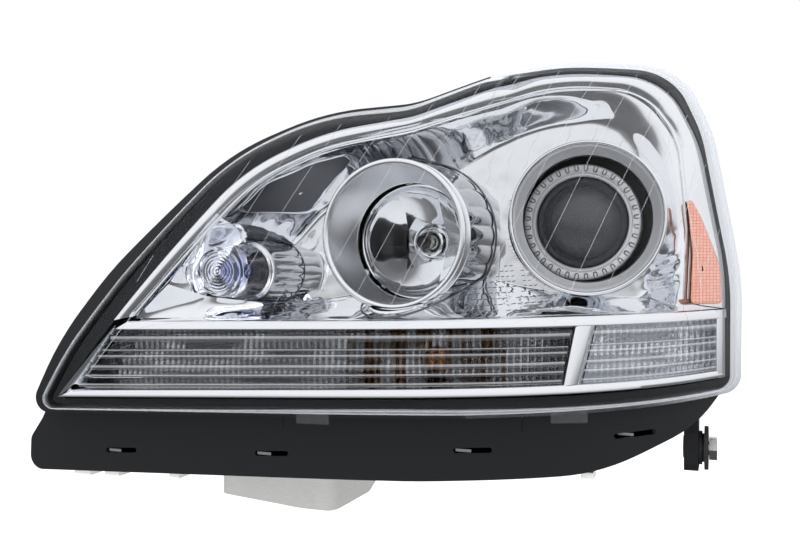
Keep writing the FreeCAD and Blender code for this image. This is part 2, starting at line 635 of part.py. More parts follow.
def high_beam_bulb():
    """Halogen bulb: blacked tip, glass, metal flange and connector foot."""
    return turned(HIGH_BEAM_REFLECTOR, [
        (0, 134.5), (4, 135), (5.8, 137.5), (6, 160), (7.6, 162), (7.6, 172.1), (13.5, 172.1), (13.5, 174),
        (7.5, 174.2), (7.5, 186.5), (0, 186.5),
    ])


def high_beam_clip():
    """Wire spring that holds the bulb's flange, hinged below it."""
    x, z = HIGH_BEAM_REFLECTOR
    wire = 0.9
    y = 175.2
    legs = [Part.makeCylinder(wire, 30.0, Vector(x + side, y, z - 19),
        Vector(0, 0, 1)) for side in (-10.5, 10.5)]
    cross = Part.makeCylinder(wire, 21.0, Vector(x - 10.5, y, z + 11), Vector(1, 0, 0))
    hinge = Part.makeCylinder(wire, 30.0, Vector(x - 15, y, z - 19), Vector(1, 0, 0))
    corners = [Part.makeSphere(wire, Vector(x + side, y, z + 11)) for side in (-10.5, 10.5)]
    return joined(legs + [cross, hinge] + corners)


def clip_lugs():
    """Two eyes on the reflector's back in which the wire clip turns."""
    x, z = HIGH_BEAM_REFLECTOR
    eyes = []
    for side in (-13.6, 13.6):
        eye = box((x + side - 1.5, x + side + 1.5), (171, 178), (z - 22, z - 16))
        foot = box((x + side - 1.5, x + side + 1.5), (163, 172), (z - 22, z - 16))
        eyes.append(joined([eye, foot]).cut(Part.makeCylinder(0.95, 10,
            Vector(x + side - 5, 175.2, z - 19), Vector(1, 0, 0))))
    return Part.makeCompound(eyes)


# ---- projector module ---------------------------------------------------------------------------
LENS_RADIUS, LENS_RIM, LENS_APEX = 38.0, 176.0, 150.0


def projector_lens():
    """Thick plano-convex lens."""
    height = LENS_RIM - LENS_APEX
    sphere = (LENS_RADIUS**2 + height**2) / (2 * height)
    centre = Vector(PROJECTOR[0], LENS_APEX + sphere, PROJECTOR[1])
    dome = Part.makeSphere(sphere, centre).common(rod(PROJECTOR, LENS_APEX - 2, LENS_RIM, LENS_RADIUS))
    return joined([dome, rod(PROJECTOR, LENS_RIM, LENS_RIM + 3, LENS_RADIUS)])


def projector_lens_ring():
    """Silver retaining ring with a row of open notches round its face."""
    ring = turned(PROJECTOR, [
        (47.5, 168), (47.5, 188), (45.5, 188), (45.5, 180), (38.3, 180), (38.3, 175.9), (37.4, 173.8),
        (36.6, 172.2), (37.2, 170.4), (39.5, 169.5), (41, 170.5), (42, 168),
    ])
    notches = []
    for i in range(36):
        angle = math.radians(10 * i + 5)
        centre = (PROJECTOR[0] + 44.8 * math.cos(angle), PROJECTOR[1] + 44.8 * math.sin(angle))
        notches.append(rod(centre, 165, 169.2, 1.2))
    return ring.cut(notches)


def projector_housing():
    """Die-cast frame between the lens and the reflector, with the shutter's lugs."""
    shell = turned(PROJECTOR, [
        (45.3, 181), (45.3, 199.3), (54, 199.3), (54, 204), (46, 204), (46, 205), (44, 216), (41, 216),
        (42.5, 204), (42.5, 181),
    ])
    lugs = [box((PROJECTOR[0] + s - 2.5, PROJECTOR[0] + s + 2.5), (207, 216),
        (PROJECTOR[1] - 32, PROJECTOR[1] - 21)) for s in (-31, 31)]
    shape = joined([shell] + lugs)
    pin = Part.makeCylinder(1.5 + RUNNING, 80, Vector(PROJECTOR[0] - 40, 211.5, PROJECTOR[1] - 26),
        Vector(1, 0, 0))
    window = box((PROJECTOR[0] - 7, PROJECTOR[0] + 7), (205.5, 215), (PROJECTOR[1] - 50, PROJECTOR[1] - 38))
    return shape.cut([pin, window])


def projector_reflector():
    inner = bowl_points(39.5, 12.0, 216.4, 252, 10, 0.6)
    outer = [(radius + 1.6, y + 1.8) for radius, y in reversed(inner)]
    profile = [(44, 216.3)] + inner + [(12, 262), (16, 262), (16, 254.5)] + outer[1:] + [(44, 219.5)]
    return turned(PROJECTOR, profile)


def shutter_flap():
    """Cut-off flap: stepped top edge, turned by its pin."""
    x, z = PROJECTOR
    outline = [(x - 27, z - 24, 1), (x + 27, z - 24, 1), (x + 27, z - 3, 2), (x + 6, z - 3, 1), (x, z, 1),
        (x - 27, z, 2)]
    flap = along_y(outline, 211, 212)
    hub = Part.makeCylinder(2.6, 50, Vector(x - 25, 211.5, z - 26), Vector(1, 0, 0))
    tongue = box((x - 3, x + 3), (211, 212.4), (z - 34, z - 26))
    body = joined([flap, hub, tongue])
    return body.cut(Part.makeCylinder(1.5 + RUNNING, 60, Vector(x - 30, 211.5, z - 26), Vector(1, 0, 0)))


def shutter_pin():
    return Part.makeCylinder(1.5, 66.0, Vector(PROJECTOR[0] - 33, 211.5, PROJECTOR[1] - 26),
        Vector(1, 0, 0))


def shutter_solenoid():
    x, z = PROJECTOR
    case = along_y([(x - 15, z - 64, 3), (x + 15, z - 64, 3), (x + 15, z - 48.5, 3),
        (x - 15, z - 48.5, 3)], 206.6, 233)
    foot = box((x - 12, x + 12), (199.6, 207.6), (z - 60, z - 55.5))
    return joined([case, foot])


def xenon_bulb():
    """Gas discharge burner with its collar."""
    return turned(PROJECTOR, [
        (0, 222), (2.5, 223), (4.5, 227), (4.5, 245), (6.5, 247), (6.5, 258), (11.7, 259), (11.7, 262.2),
        (19, 262.3), (19, 266), (0, 266),
    ])


def xenon_igniter():
    x, z = PROJECTOR
    case = along_y([(x - 19, z - 19, 5), (x + 19, z - 19, 5), (x + 19, z + 19, 5), (x - 19, z + 19, 5)],
        266.2, 291)
    plug = box((x - 9, x + 9), (272, 289), (z - 30, z - 18))
    return joined([case, plug])


def screws(places, length, head=3.6, shank=1.9):
    """Pan-head screws: (x, y, z) is under the head, which faces rearwards."""
    made = []
    for x, y, z in places:
        body = joined([rod((x, z), y, y + 2.4, head), rod((x, z), y - length, y + 0.1, shank)])
        made.append(body.cut(box((x - 0.5, x + 0.5), (y + 1.2, y + 3), (z - 2.4, z + 2.4))).cut(
            box((x - 2.4, x + 2.4), (y + 1.2, y + 3), (z - 0.5, z + 0.5))))
    return made


def module_screws():
    x, z = PROJECTOR
    places = [(x + 51 * math.cos(a), 204.1, z + 51 * math.sin(a)) for a in [math.radians(k) for k in (40,
        140, 200, 340)]]
    return Part.makeCompound(screws(places, 0.1, 3.0, 1.5))


# ---- covers, ballast, mounting -------------------------------------------------------------------
def service_cap(axis, wall_y, hole, depth):
    """Bayonet service cover over a collar: skirt, dished lid and a grip bar."""
    collar = hole + 3
    low, top = wall_y + 0.6, wall_y + depth
    shape = turned(axis, [
        (collar + 0.4, low), (collar + 3.4, low), (collar + 3.4, top - 4), (collar - 0.6, top),
        (hole - 12, top), (hole - 16, top - 5),
        (0, top - 5), (0, top - 7.5), (hole - 14, top - 7.5), (hole - 10, top - 2.5),
        (collar - 2, top - 2.5), (collar + 0.4, top - 5),
    ])
    bar = box((axis[0] - hole + 14, axis[0] + hole - 14), (top - 6, top + 4), (axis[1] - 3, axis[1] + 3))
    ribs = []
    for i in range(18):
        angle = math.radians(20 * i)
        centre = (axis[0] + (collar + 3.4) * math.cos(angle), axis[1] + (collar + 3.4) * math.sin(angle))
        ribs.append(rod(centre, low, top - 5, 1.3))
    return joined([shape, bar] + ribs)


def cap_seal(axis, wall_y, hole):
    return pipe(axis, wall_y + 10.3, wall_y + 12.6, hole + 2.6, hole - 1.5)


BALLAST = ((-192.0, -70.0), (104.0, 214.0), (-203.0, -167.0))
BALLAST_SKEW = 30.0


def ballast_plan(inset):
    """The can seen from above: its front edge runs askew, nearest to the lens at the outboard corner."""
    (x0, x1), (y0, y1), _ = BALLAST
    corners = [(x0, y0 + BALLAST_SKEW, 12), (x0 + 6, y1, 12), (x1 + 4, y1, 12), (x1, y0, 14)]
    return grown(corners, -inset)


def xenon_ballast():
    """Pressed aluminium ballast can, open-lipped at the top, with a sloped rear end and a ribbed floor."""
    (x0, x1), (y0, y1), (z0, z1) = BALLAST
    plan = ballast_plan(0.0)
    side = along_x([(y0 - 5, z1 + 5, 1), (y1 + 5, z1 + 5, 1), (y1 + 5, z0 + 16, 4), (y1 - 30, z0, 14),
        (y0 - 5, z0, 14)])
    can = along_z(plan, z0, z1 - 1).common(side)
    lip = along_z(grown(plan, 2.5), z1 - 5, z1 - 3)
    ribs = [box((x, x + 2), (y0 + 40, y1 - 34), (z0 - 1, z0 + 3)) for x in (x0 + 30, x0 + 52, x0 + 74)]
    return joined([can, lip] + ribs).cut(ballast_fill(0.0))


def ballast_fill(gap):
    """The potted block inside the can, or its pocket when gap is 0."""
    (x0, x1), (y0, y1), (z0, z1) = BALLAST
    inset = 3.0 + gap
    plan = ballast_plan(inset)
    side = [(y0 + inset, z1 + 5, 1), (y1 - inset, z1 + 5, 1), (y1 - inset, z0 + 20, 4),
        (y1 - 32, z0 + 4, 12),
            (y0 + inset, z0 + 4, 12)]
    return along_z(plan, z0 + gap, z1 - 2 if gap else z1 + 1).common(along_x(side))


def ballast_connector():
    (x0, x1), (y0, y1), (z0, z1) = BALLAST
    body = box((x1 - 40, x1 - 12), (y1 - 1.0, y1 + 20), (z1 - 17, z1 - 3))
    body = body.cut(box((x1 - 38, x1 - 14), (y1 + 6, y1 + 21), (z1 - 15.2, z1 - 4.8)))
    return body.cut(xenon_ballast())


def ballast_screws():
    (x0, x1), (y0, y1), (z0, z1) = BALLAST
    made = []
    for x, y in ((x0 + 14, y0 + 74), (x1 - 14, y0 + 74), (x0 + 20, y1 - 14), (x1 - 18, y1 - 14)):
        made.append(joined([Part.makeCylinder(4.0, 2.6, Vector(x, y, -162.4)),
            Part.makeCylinder(2.2, 1.0, Vector(x, y, -160.2))]))
    return Part.makeCompound(made)


def mounting_grommet():
    """Rubber bush with two collars that the arm's eye sits between."""
    x, y, z = BUSH
    axis = Vector(1, 0, 0)
    discs = [
        Part.makeCylinder(8.9, 19, Vector(x - 26, y, z), axis),
        Part.makeCylinder(13.5, 2.4, Vector(x - 13.8, y, z), axis),
        Part.makeCylinder(17.5, 3.0, Vector(x - 9.6, y, z), axis),
        Part.makeCylinder(11.5, 6.0, Vector(x - 12.6, y, z), axis),
    ]
    return joined(discs).cut(Part.makeCylinder(6.05, 40, Vector(x - 30, y, z), axis))


def mounting_bush():
    """Steel sleeve with a hexagon collar; its bore takes the car's mounting bolt."""
    x, y, z = BUSH
    axis = Vector(1, 0, 0)
    tube = Part.makeCylinder(6.0, BUSH_LENGTH, Vector(x - BUSH_LENGTH, y, z), axis)
    hexagon = [(y + 10 * math.cos(math.radians(60 * i)), z + 10 * math.sin(math.radians(60 * i)),
        0.6) for i in range(6)]
    collar = along_x(hexagon, x - 6.0, x)
    return joined([tube, collar]).cut(Part.makeCylinder(BUSH_BORE, 60, Vector(x - 40, y, z), axis))


CONNECTOR = (-110.0, -128.0)


def main_connector():
    """Multi-way vehicle connector on the lower rear wall."""
    x, z = CONNECTOR
    y = STEP_REAR
    flange = along_y([(x - 26, z - 14, 3), (x + 26, z - 14, 3), (x + 26, z + 14, 3), (x - 26, z + 14, 3)],
        y + 0.2, y + 3)
    shroud = along_y([(x - 20, z - 10, 2.5), (x + 20, z - 10, 2.5), (x + 20, z + 10, 2.5),
        (x - 20, z + 10, 2.5)], y + 2, y + 24)
    inside = along_y([(x - 18, z - 8, 1.5), (x + 18, z - 8, 1.5), (x + 18, z + 8, 1.5),
        (x - 18, z + 8, 1.5)], y + 6, y + 25)
    pins = [box((x - 15 + 5 * i, x - 14 + 5 * i), (y + 5, y + 16),
        (z + s - 0.5, z + s + 0.5)) for i in range(7) for s in (-4, 4)]
    return joined([joined([flange, shroud]).cut(inside)] + pins)


def vent_caps():
    """Small breather elbows on the rear walls."""
    made = []
    for x, y, z in ((-120, INBOARD_REAR, 20), (190, OUTBOARD_REAR, 84)):
        cap = turned((x, z), [(0, y + 0.2), (8, y + 0.2), (8, y + 8), (6, y + 10), (0, y + 10)])
        skirt = Part.makeCylinder(4.0, 14.0, Vector(x, y + 5, z - 14))
        made.append(joined([cap, skirt]).cut(Part.makeCylinder(2.6, 10.0, Vector(x, y + 5, z - 15))))
    return Part.makeCompound(made)


def chin_clips():
    """Spring clips seated in the chin's slots."""
    made = []
    for x, z in CHIN_Z:
        y = front_y(x, z) + BODY_FRONT
        made.append(box((x - 13, x - 1), (y + 1.5, y + 9.5), (z - 1.2, z + 0.9)))
    return Part.makeCompound(made)


def bumper_clips():
    """Pale push-in clips along the bottom edge of the chin."""
    made = []
    for x, width in ((-268, 16), (-240, 14), (-182, 9), (140, 9)):
        share = (x + 318) / 338
        z = -169 + 11 * min(share, 1.0) + (8 * (x - 20) / 130 if x > 20 else 0)
        y = front_y(x, z) + BODY_FRONT + 10
        made.append(along_x([(y, z - 6, 1.5), (y + 16, z - 6, 1.5), (y + 16, z - 0.7, 0.5),
            (y, z - 0.7, 0.5)], x - width / 2, x + width / 2))
    return Part.makeCompound(made)


NODES = {
    "rear_housing": rear_housing,
    "lens_cover": lens_cover,
    "lens_seal": lens_seal,
    "bezel": bezel,
    "high_beam_trim_ring": high_beam_trim,
    "projector_trim_sleeve": projector_sleeve,
    "position_lamp_barrel": position_barrel,
    "position_lamp_reflector": position_reflector,
    "position_lamp_tube": position_tube,
    "position_bulb_holder": position_holder,
    "position_bulb": position_bulb,
    "turn_signal_optic": turn_optic,
    "turn_signal_reflector": turn_reflector,
    "turn_signal_bulb_holder": lambda: bayonet_holder(TURN_BULB, TURN_HOLDER_FRONT, STEP_REAR, TURN_HOLE),
    "turn_signal_bulb": lambda: bayonet_bulb(TURN_BULB, TURN_HOLDER_FRONT),
    "corner_lamp_optic": corner_optic,
    "corner_lamp_reflector": corner_reflector,
    "corner_bulb_holder": lambda: bayonet_holder(CORNER_BULB, CORNER_HOLDER_FRONT, LOWER_REAR, CORNER_HOLE),
    "corner_bulb": lambda: bayonet_bulb(CORNER_BULB, CORNER_HOLDER_FRONT),
    "side_reflector": side_reflector,
    "carrier_frame": carrier_frame,
    "pivot_ball": pivot_ball,
    "levelling_spindle": levelling_spindle,
    "levelling_motor": levelling_motor,
    "lateral_adjuster_slider": lateral_slider,
    "lateral_adjuster_screw": lateral_screw,
    "high_beam_reflector": high_beam_reflector,
    "high_beam_bulb": high_beam_bulb,
    "high_beam_bulb_clip": high_beam_clip,
    "bulb_clip_lugs": clip_lugs,
    "projector_lens": projector_lens,
    "projector_lens_ring": projector_lens_ring,
    "projector_housing": projector_housing,
    "projector_reflector": projector_reflector,
    "shutter_flap": shutter_flap,
    "shutter_pin": shutter_pin,
    "shutter_solenoid": shutter_solenoid,
    "xenon_bulb": xenon_bulb,
    "xenon_igniter": xenon_igniter,
    "module_screws": module_screws,
    "high_beam_service_cap": lambda: service_cap(HIGH_BEAM_REFLECTOR, MIDDLE_REAR, HIGH_BEAM_CAP, 18.0),
    "high_beam_cap_seal": lambda: cap_seal(HIGH_BEAM_REFLECTOR, MIDDLE_REAR, HIGH_BEAM_CAP),
    "xenon_service_cap": lambda: service_cap(PROJECTOR, OUTBOARD_REAR, XENON_CAP, 24.0),
    "xenon_cap_seal": lambda: cap_seal(PROJECTOR, OUTBOARD_REAR, XENON_CAP),
    "xenon_ballast": xenon_ballast,
    "ballast_electronics": lambda: ballast_fill(0.2),
    "ballast_connector": ballast_connector,
    "ballast_screws": ballast_screws,
    "mounting_grommet": mounting_grommet,
    "mounting_bush": mounting_bush,
    "main_connector": main_connector,
    "vent_caps": vent_caps,
    "chin_clips": chin_clips,
    "bumper_clips": bumper_clips,
}


def main():
    os.makedirs("parts", exist_ok=True)
    for name, build in NODES.items():
        shape = build()
        shape.translate(Vector(-BUSH[0], -BUSH[1], -BUSH[2]))
        solids = shape.Solids
        volume = sum(s.Volume for s in solids) / 1000
        print(f"{name}: {len(solids)} solid(s), {volume:.1f} cm3, valid {shape.isValid()}")
        if shape.ShapeType == "Compound" and len(solids) == 1:
            shape = solids[0]
        shape.exportStep(f"parts/{name}.step")


main()
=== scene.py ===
"""Looks of the car headlight assembly: lens, chromed frame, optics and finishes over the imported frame.

Shapes are worked out in the lamp's own millimetres (+X outboard, +Y rearwards, +Z up, front face
towards -Y) and moved into the row frame by place().
"""

import bpy
import math
import numpy as np
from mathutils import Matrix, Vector


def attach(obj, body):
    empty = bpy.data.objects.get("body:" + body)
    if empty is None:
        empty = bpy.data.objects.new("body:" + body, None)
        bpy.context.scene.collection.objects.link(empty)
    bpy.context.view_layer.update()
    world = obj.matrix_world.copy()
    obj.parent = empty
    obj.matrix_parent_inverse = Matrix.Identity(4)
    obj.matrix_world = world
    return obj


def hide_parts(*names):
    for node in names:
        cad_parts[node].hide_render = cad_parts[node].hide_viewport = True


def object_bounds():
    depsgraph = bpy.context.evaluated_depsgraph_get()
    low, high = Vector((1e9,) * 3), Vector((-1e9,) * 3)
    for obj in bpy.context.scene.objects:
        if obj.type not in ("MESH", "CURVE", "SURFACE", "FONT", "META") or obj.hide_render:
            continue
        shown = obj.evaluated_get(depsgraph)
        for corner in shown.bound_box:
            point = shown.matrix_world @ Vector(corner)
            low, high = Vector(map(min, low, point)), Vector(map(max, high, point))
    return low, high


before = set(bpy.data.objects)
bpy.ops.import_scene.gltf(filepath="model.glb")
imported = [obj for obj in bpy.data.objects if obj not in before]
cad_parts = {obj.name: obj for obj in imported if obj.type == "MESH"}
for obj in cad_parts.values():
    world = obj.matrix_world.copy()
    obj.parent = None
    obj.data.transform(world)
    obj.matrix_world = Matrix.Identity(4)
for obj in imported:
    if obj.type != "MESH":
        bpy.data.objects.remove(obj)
CAD_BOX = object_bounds()

# ---- lamp dimensions, in millimetres ------------------------------------------------------------
ORIGIN = np.array([229.0, 200.0, -147.0])
FLANGE = [
    (-301, -119, 12), (60, -108, 500), (247, -99, 12), (248, -10, 250), (226, 109.5, 120),
    (202, 162, 45), (120, 161.5, 200), (60, 152, 25), (4, 130, 80), (-72, 126, 180),
    (-145, 94, 150), (-232, -2, 300), (-272, -58, 300),
]
BEZEL = [
    (-270, -105, 3), (32, -94, 600), (233, -86, 4), (236.5, -10, 250), (216, 98, 120),
    (190, 150, 45), (120, 151, 200), (66, 141, 15), (5, 118, 80), (-66, 108, 180),
    (-128, 78, 150), (-212, -30, 300),
]
POCKET = [
    (-207, -43, 3), (15, -39, 600), (205, -33, 3), (207, 30, 60), (200, 100, 60),
    (174, 137, 45), (115, 137, 150), (66, 124, 25), (5, 104, 80), (-62, 93, 160), (-116, 68, 120),
]
AMBER = [(211, -28, 3), (233, -29, 3), (232, 0, 40), (218, 38, 60), (207, 60, 2), (212, 10, 60)]
LENS = [
    (-287, -115, 8), (60, -105, 500), (243.5, -96, 10), (244.5, -10, 250), (222.5, 107.5, 120),
    (199.5, 158.5, 42), (120, 158, 200), (60, 148.5, 25), (4, 126.5, 80), (-72, 122, 180),
    (-141, 88, 150), (-218, -8, 300), (-260, -66, 300),
]
ROLL_WIDTH, ROLL_DEPTH = 20.0, 15.0
LENS_CREASE, SKIRT_END = 7.0, 28.0
EDGE_WALL, FACE_WALL = 2.8, 3.0
FOOT_FRONT, FOOT_BACK = 16.8, 19.8
CENTRE = (20.0, 10.0)

HIGH_BEAM = (-3.0, 24.5)
REFLECTOR = (-1.0, 20.5)
PROJECTOR = (125.0, 36.0)
SLEEVE = (134.0, 38.0)
SLEEVE_FRONT, SLEEVE_TURN = 138.0, math.radians(8.0)
POSITION = (-140.0, -4.0)
RING_FRONT = 70.0
# The barrels' openings in the frame's floor, as (axis, radius).
FLOOR_HOLES = ((HIGH_BEAM, 58.0), (PROJECTOR, 56.0), (POSITION, 24.5))

RIBS = 36
# Middle in x of the painted amber reflection on the long lamp's reflector; its reach either way and the
# reflex grid's pitch are in metres.
AMBER_REFLECTION_MIDDLE, AMBER_REFLECTION_REACH, PRISM = 20.0, 0.062, 0.0024

# Edges of the lower lamps as (x, z) polylines.
SHELF_TOP = [(-207, -43), (15, -39), (125, -35.5), (236, -33)]
SHELF_LOW = [(-218, -50), (15, -45.5), (132, -42.5), (236, -40.5)]
SILL_TOP = [(-252, -98), (31, -87), (127, -83), (235, -80)]
SILL_LOW = [(-270, -105), (32, -94), (133, -90), (235, -86)]


def place(points):
    """Lamp millimetres to the row frame's metres."""
    return (np.asarray(points, dtype=float) - ORIGIN) / 1000.0


def front_y(x, z, crease=30.0):
    """Depth of the lens's outer surface; crease is how wide the step up to the brow is."""
    s = np.maximum(0.0, (x + 255.0) / 500.0)
    t = np.maximum(0.0, (z + 108.0) / 261.0)
    across = smooth((x - 35.0 - 0.245 * z) / crease)
    return 0.06 * (x + 255.0) + 150.0 * s**7 + 85.0 * t * t - 9.0 * across * smooth((z - 20.0) / 80.0)


def smooth(t):
    """Eased step from 0 to 1."""
    t = np.clip(t, 0.0, 1.0)
    return t * t * (3 - 2 * t)


# ---- outlines -----------------------------------------------------------------------------------
def grown(corners, d):
    """Corner list of the outline moved outwards by d."""
    area = sum(a[0] * b[1] - b[0] * a[1] for a, b in zip(corners, corners[1:] + corners[:1]))
    side = 1.0 if area > 0 else -1.0
    out = []
    for i, (x, z, r) in enumerate(corners):
        p, n = corners[i - 1], corners[(i + 1) % len(corners)]
        a, b = (x - p[0], z - p[1]), (n[0] - x, n[1] - z)
        la, lb = math.hypot(*a), math.hypot(*b)
        na, nb = (side * a[1] / la, -side * a[0] / la), (side * b[1] / lb, -side * b[0] / lb)
        k = d / (1 + na[0] * nb[0] + na[1] * nb[1])
        convex = side * (a[0] * b[1] - a[1] * b[0]) > 0
        out.append((x + (na[0] + nb[0]) * k, z + (na[1] + nb[1]) * k, max(0.4, r + (d if convex else -d))))
    return out


def traced(corners, arc=24):
    """Points along a rounded outline."""
    points = []
    for i, (x, z, r) in enumerate(corners):
        p, n = corners[i - 1], corners[(i + 1) % len(corners)]
        la, lb = math.hypot(p[0] - x, p[1] - z), math.hypot(n[0] - x, n[1] - z)
        ua, ub = np.array([p[0] - x, p[1] - z]) / la, np.array([n[0] - x, n[1] - z]) / lb
        half = 0.5 * math.acos(max(-1.0, min(1.0, float(ua @ ub))))
        reach = min(r / math.tan(half), 0.47 * la, 0.47 * lb)
        radius = reach * math.tan(half)
        mid = (ua + ub) / np.linalg.norm(ua + ub)
        centre = np.array([x, z]) + mid * (radius / math.sin(half))
        start, end = np.array([x, z]) + ua * reach - centre, np.array([x, z]) + ub * reach - centre
        turn = math.atan2(start[0] * end[1] - start[1] * end[0], float(start @ end))
        for k in range(arc + 1):
            c, s = math.cos(turn * k / arc), math.sin(turn * k / arc)
            points.append(centre + np.array([c * start[0] - s * start[1], s * start[0] + c * start[1]]))
    return np.array(points)


def polar(corners, angles, d=0.0, centre=CENTRE):
    """Distance from centre to the outline at each angle."""
    points = traced(grown(corners, d) if d else corners)
    dense = []
    for a, b in zip(points, np.roll(points, -1, axis=0)):
        n = max(1, int(np.hypot(*(b - a)) / 2.0))
        dense += [a + (b - a) * k / n for k in range(n)]
    dense = np.array(dense) - np.array(centre)
    theta = np.arctan2(dense[:, 1], dense[:, 0])
    radius = np.hypot(dense[:, 0], dense[:, 1])
    order = np.argsort(theta)
    return np.interp(angles, theta[order], radius[order], period=2 * math.pi)


# ---- mesh making --------------------------------------------------------------------------------
def grid(rows, wrap=False, flip=False):
    """Quads over rows of equally long point rings. Returns (points, faces)."""
    rows = [np.asarray(r, dtype=float) for r in rows]
    n = len(rows[0])
    points = np.concatenate(rows)
    faces = []
    for j in range(len(rows) - 1):
        for i in range(n if wrap else n - 1):
            a, b = j * n + i, j * n + (i + 1) % n
            quad = (a, b, b + n, a + n)
            faces.append(quad[::-1] if flip else quad)
    return points, faces


def merge(*parts):
    """Several (points, faces) joined as one."""
    points, faces, base = [], [], 0
    for p, f in parts:
        points.append(np.asarray(p, dtype=float))
        faces += [tuple(i + base for i in face) for face in f]
        base += len(p)
    return np.concatenate(points), faces


def build(name, parts, material, body="casing", nodes=(), crisp=40.0):
    """An object from (points, faces) parts. material is one, or one for each part."""
    several = isinstance(material, (list, tuple))
    points, faces = merge(*parts)
    mesh = bpy.data.meshes.new(name)
    mesh.from_pydata(place(points).tolist(), [], faces)
    mesh.validate()
    for m in material if several else [material]:
        mesh.materials.append(m)
    if several:
        index = [k for k, (_, f) in enumerate(parts) for _ in f]
        mesh.polygons.foreach_set("material_index", index[: len(mesh.polygons)])
    mesh.polygons.foreach_set("use_smooth", [True] * len(mesh.polygons))
    mesh.set_sharp_from_angle(angle=math.radians(crisp))
    obj = bpy.data.objects.new(name, mesh)
    bpy.context.collection.objects.link(obj)
    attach(obj, body)
    if nodes:
        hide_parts(*nodes)
    return obj


def lathe(profile, axis, count=160, ripple=None, lean=None):
    """Rings round +Y from (radius, y) or (radius, y, x, z) points. lean is (angle, pivot) about Z."""
    phi = np.arange(count) * 2 * math.pi / count
    rows = []
    for k, point in enumerate(profile):
        r, y = point[0], point[1]
        cx, cz = (point[2], point[3]) if len(point) > 2 else axis
        radius = r + (ripple(phi, k, y) if ripple else 0.0) + 0 * phi
        rows.append(np.stack([cx + radius * np.cos(phi), 0 * phi + y, cz + radius * np.sin(phi)], axis=1))
    points, faces = grid(rows, wrap=True, flip=True)
    if lean:
        angle, pivot = lean
        x, y = points[:, 0] - pivot[0], points[:, 1] - pivot[1]
        points[:, 0] = pivot[0] + x * math.cos(angle) - y * math.sin(angle)
        points[:, 1] = pivot[1] + x * math.sin(angle) + y * math.cos(angle)
    return points, faces


def arc_points(cr, cy, radius, start, end, steps=8):
    """(r, y) points round a circle in a lathe profile, angles in degrees from +r towards +y."""
    out = []
    for k in range(steps + 1):
        a = math.radians(start + (end - start) * k / steps)
        out.append((cr + radius * math.cos(a), cy + radius * math.sin(a)))
    return out


def tube(path, radius, sides=8):
    """A round wire along a list of points."""
    path = np.asarray(path, dtype=float)
    along = np.gradient(path, axis=0)
    along /= np.linalg.norm(along, axis=1)[:, None]
    up = np.array([0.0, 1.0, 0.0])
    side = np.cross(along, up)
    side /= np.linalg.norm(side, axis=1)[:, None]
    over = np.cross(side, along)
    turns = np.arange(sides) * 2 * math.pi / sides
    rows = []
    for p, s, o in zip(path, side, over):
        rows.append([p + radius * (s * math.cos(a) + o * math.sin(a)) for a in turns])
    return grid(rows, wrap=True)


def line(points, x):
    """Height of a polyline at x."""
    xs, zs = zip(*points)
    return np.interp(x, xs, zs)


def ribbon(low, high, profile):
    """A moulding between two edges. Each edge is an array of (x, z); profile is (share, depth) across."""
    low, high = np.asarray(low, dtype=float), np.asarray(high, dtype=float)
    rows = []
    for share, depth in profile:
        xz = low + (high - low) * share
        rows.append(np.stack([xz[:, 0], front_y(xz[:, 0], xz[:, 1]) + depth, xz[:, 1]], axis=1))
    return grid(rows)


def run(edge, x0, x1, count):
    """Points along an edge between two values of x."""
    xs = np.linspace(x0, x1, count)
    return np.stack([xs, line(edge, xs)], axis=1)


# ---- materials ----------------------------------------------------------------------------------
def new_material(name):
    """A material with its nodes, links and main shader."""
    m = bpy.data.materials.new(name)
    m.use_nodes = True
    nodes = m.node_tree.nodes
    return m, nodes, m.node_tree.links, nodes["Principled BSDF"]


def add(nodes, kind, inputs=(), **settings):
    """A shader node with its settings and the values of its sockets."""
    node = nodes.new("ShaderNode" + kind)
    for key, value in settings.items():
        setattr(node, key, value)
    dress(node, inputs)
    return node


def dress(node, inputs):
    """Sets sockets of a node by name or number."""
    for key, value in dict(inputs).items():
        node.inputs[key].default_value = value


def textured(nodes, links, shader, scale, bump, distance, rough, detail=4.0, stretch=(1, 1, 1)):
    """Noise bump, and noise in the roughness between two limits."""
    coord = add(nodes, "TexCoord")
    mapping = add(nodes, "Mapping", {"Scale": stretch})
    links.new(coord.outputs["Object"], mapping.inputs["Vector"])
    noise = add(nodes, "TexNoise", {"Scale": scale, "Detail": detail})
    links.new(mapping.outputs["Vector"], noise.inputs["Vector"])
    if bump:
        node = add(nodes, "Bump", {"Strength": bump, "Distance": distance})
        links.new(noise.outputs["Fac"], node.inputs["Height"])
        links.new(node.outputs["Normal"], shader.inputs["Normal"])
    spread = add(nodes, "MapRange", {"To Min": rough[0], "To Max": rough[1]})
    links.new(noise.outputs["Fac"], spread.inputs["Value"])
    links.new(spread.outputs["Result"], shader.inputs["Roughness"])
    return noise


def solid(name, colour, rough, metal=0.0, scale=400.0, bump=0.15, distance=0.0004, sheen=0.5,
          stretch=(1, 1, 1), shade=0.12):
    """Plastic, rubber or metal with noise in its colour, roughness and surface.

    sheen is how strongly a plastic reflects; shade is how far the colour varies."""
    m, nodes, links, shader = new_material(name)
    dress(shader, {"Metallic": metal, "Specular IOR Level": sheen})
    limits = (rough * 0.8, rough * 1.2)
    noise = textured(nodes, links, shader, scale, bump, distance, limits, stretch=stretch)
    darker = (*[c * (1 - shade) for c in colour], 1)
    lighter = (*[min(1, c * (1 + shade)) for c in colour], 1)
    mix = add(nodes, "Mix", {"A": darker, "B": lighter}, data_type="RGBA")
    links.new(noise.outputs["Fac"], mix.inputs["Factor"])
    links.new(mix.outputs["Result"], shader.inputs["Base Color"])
    return m


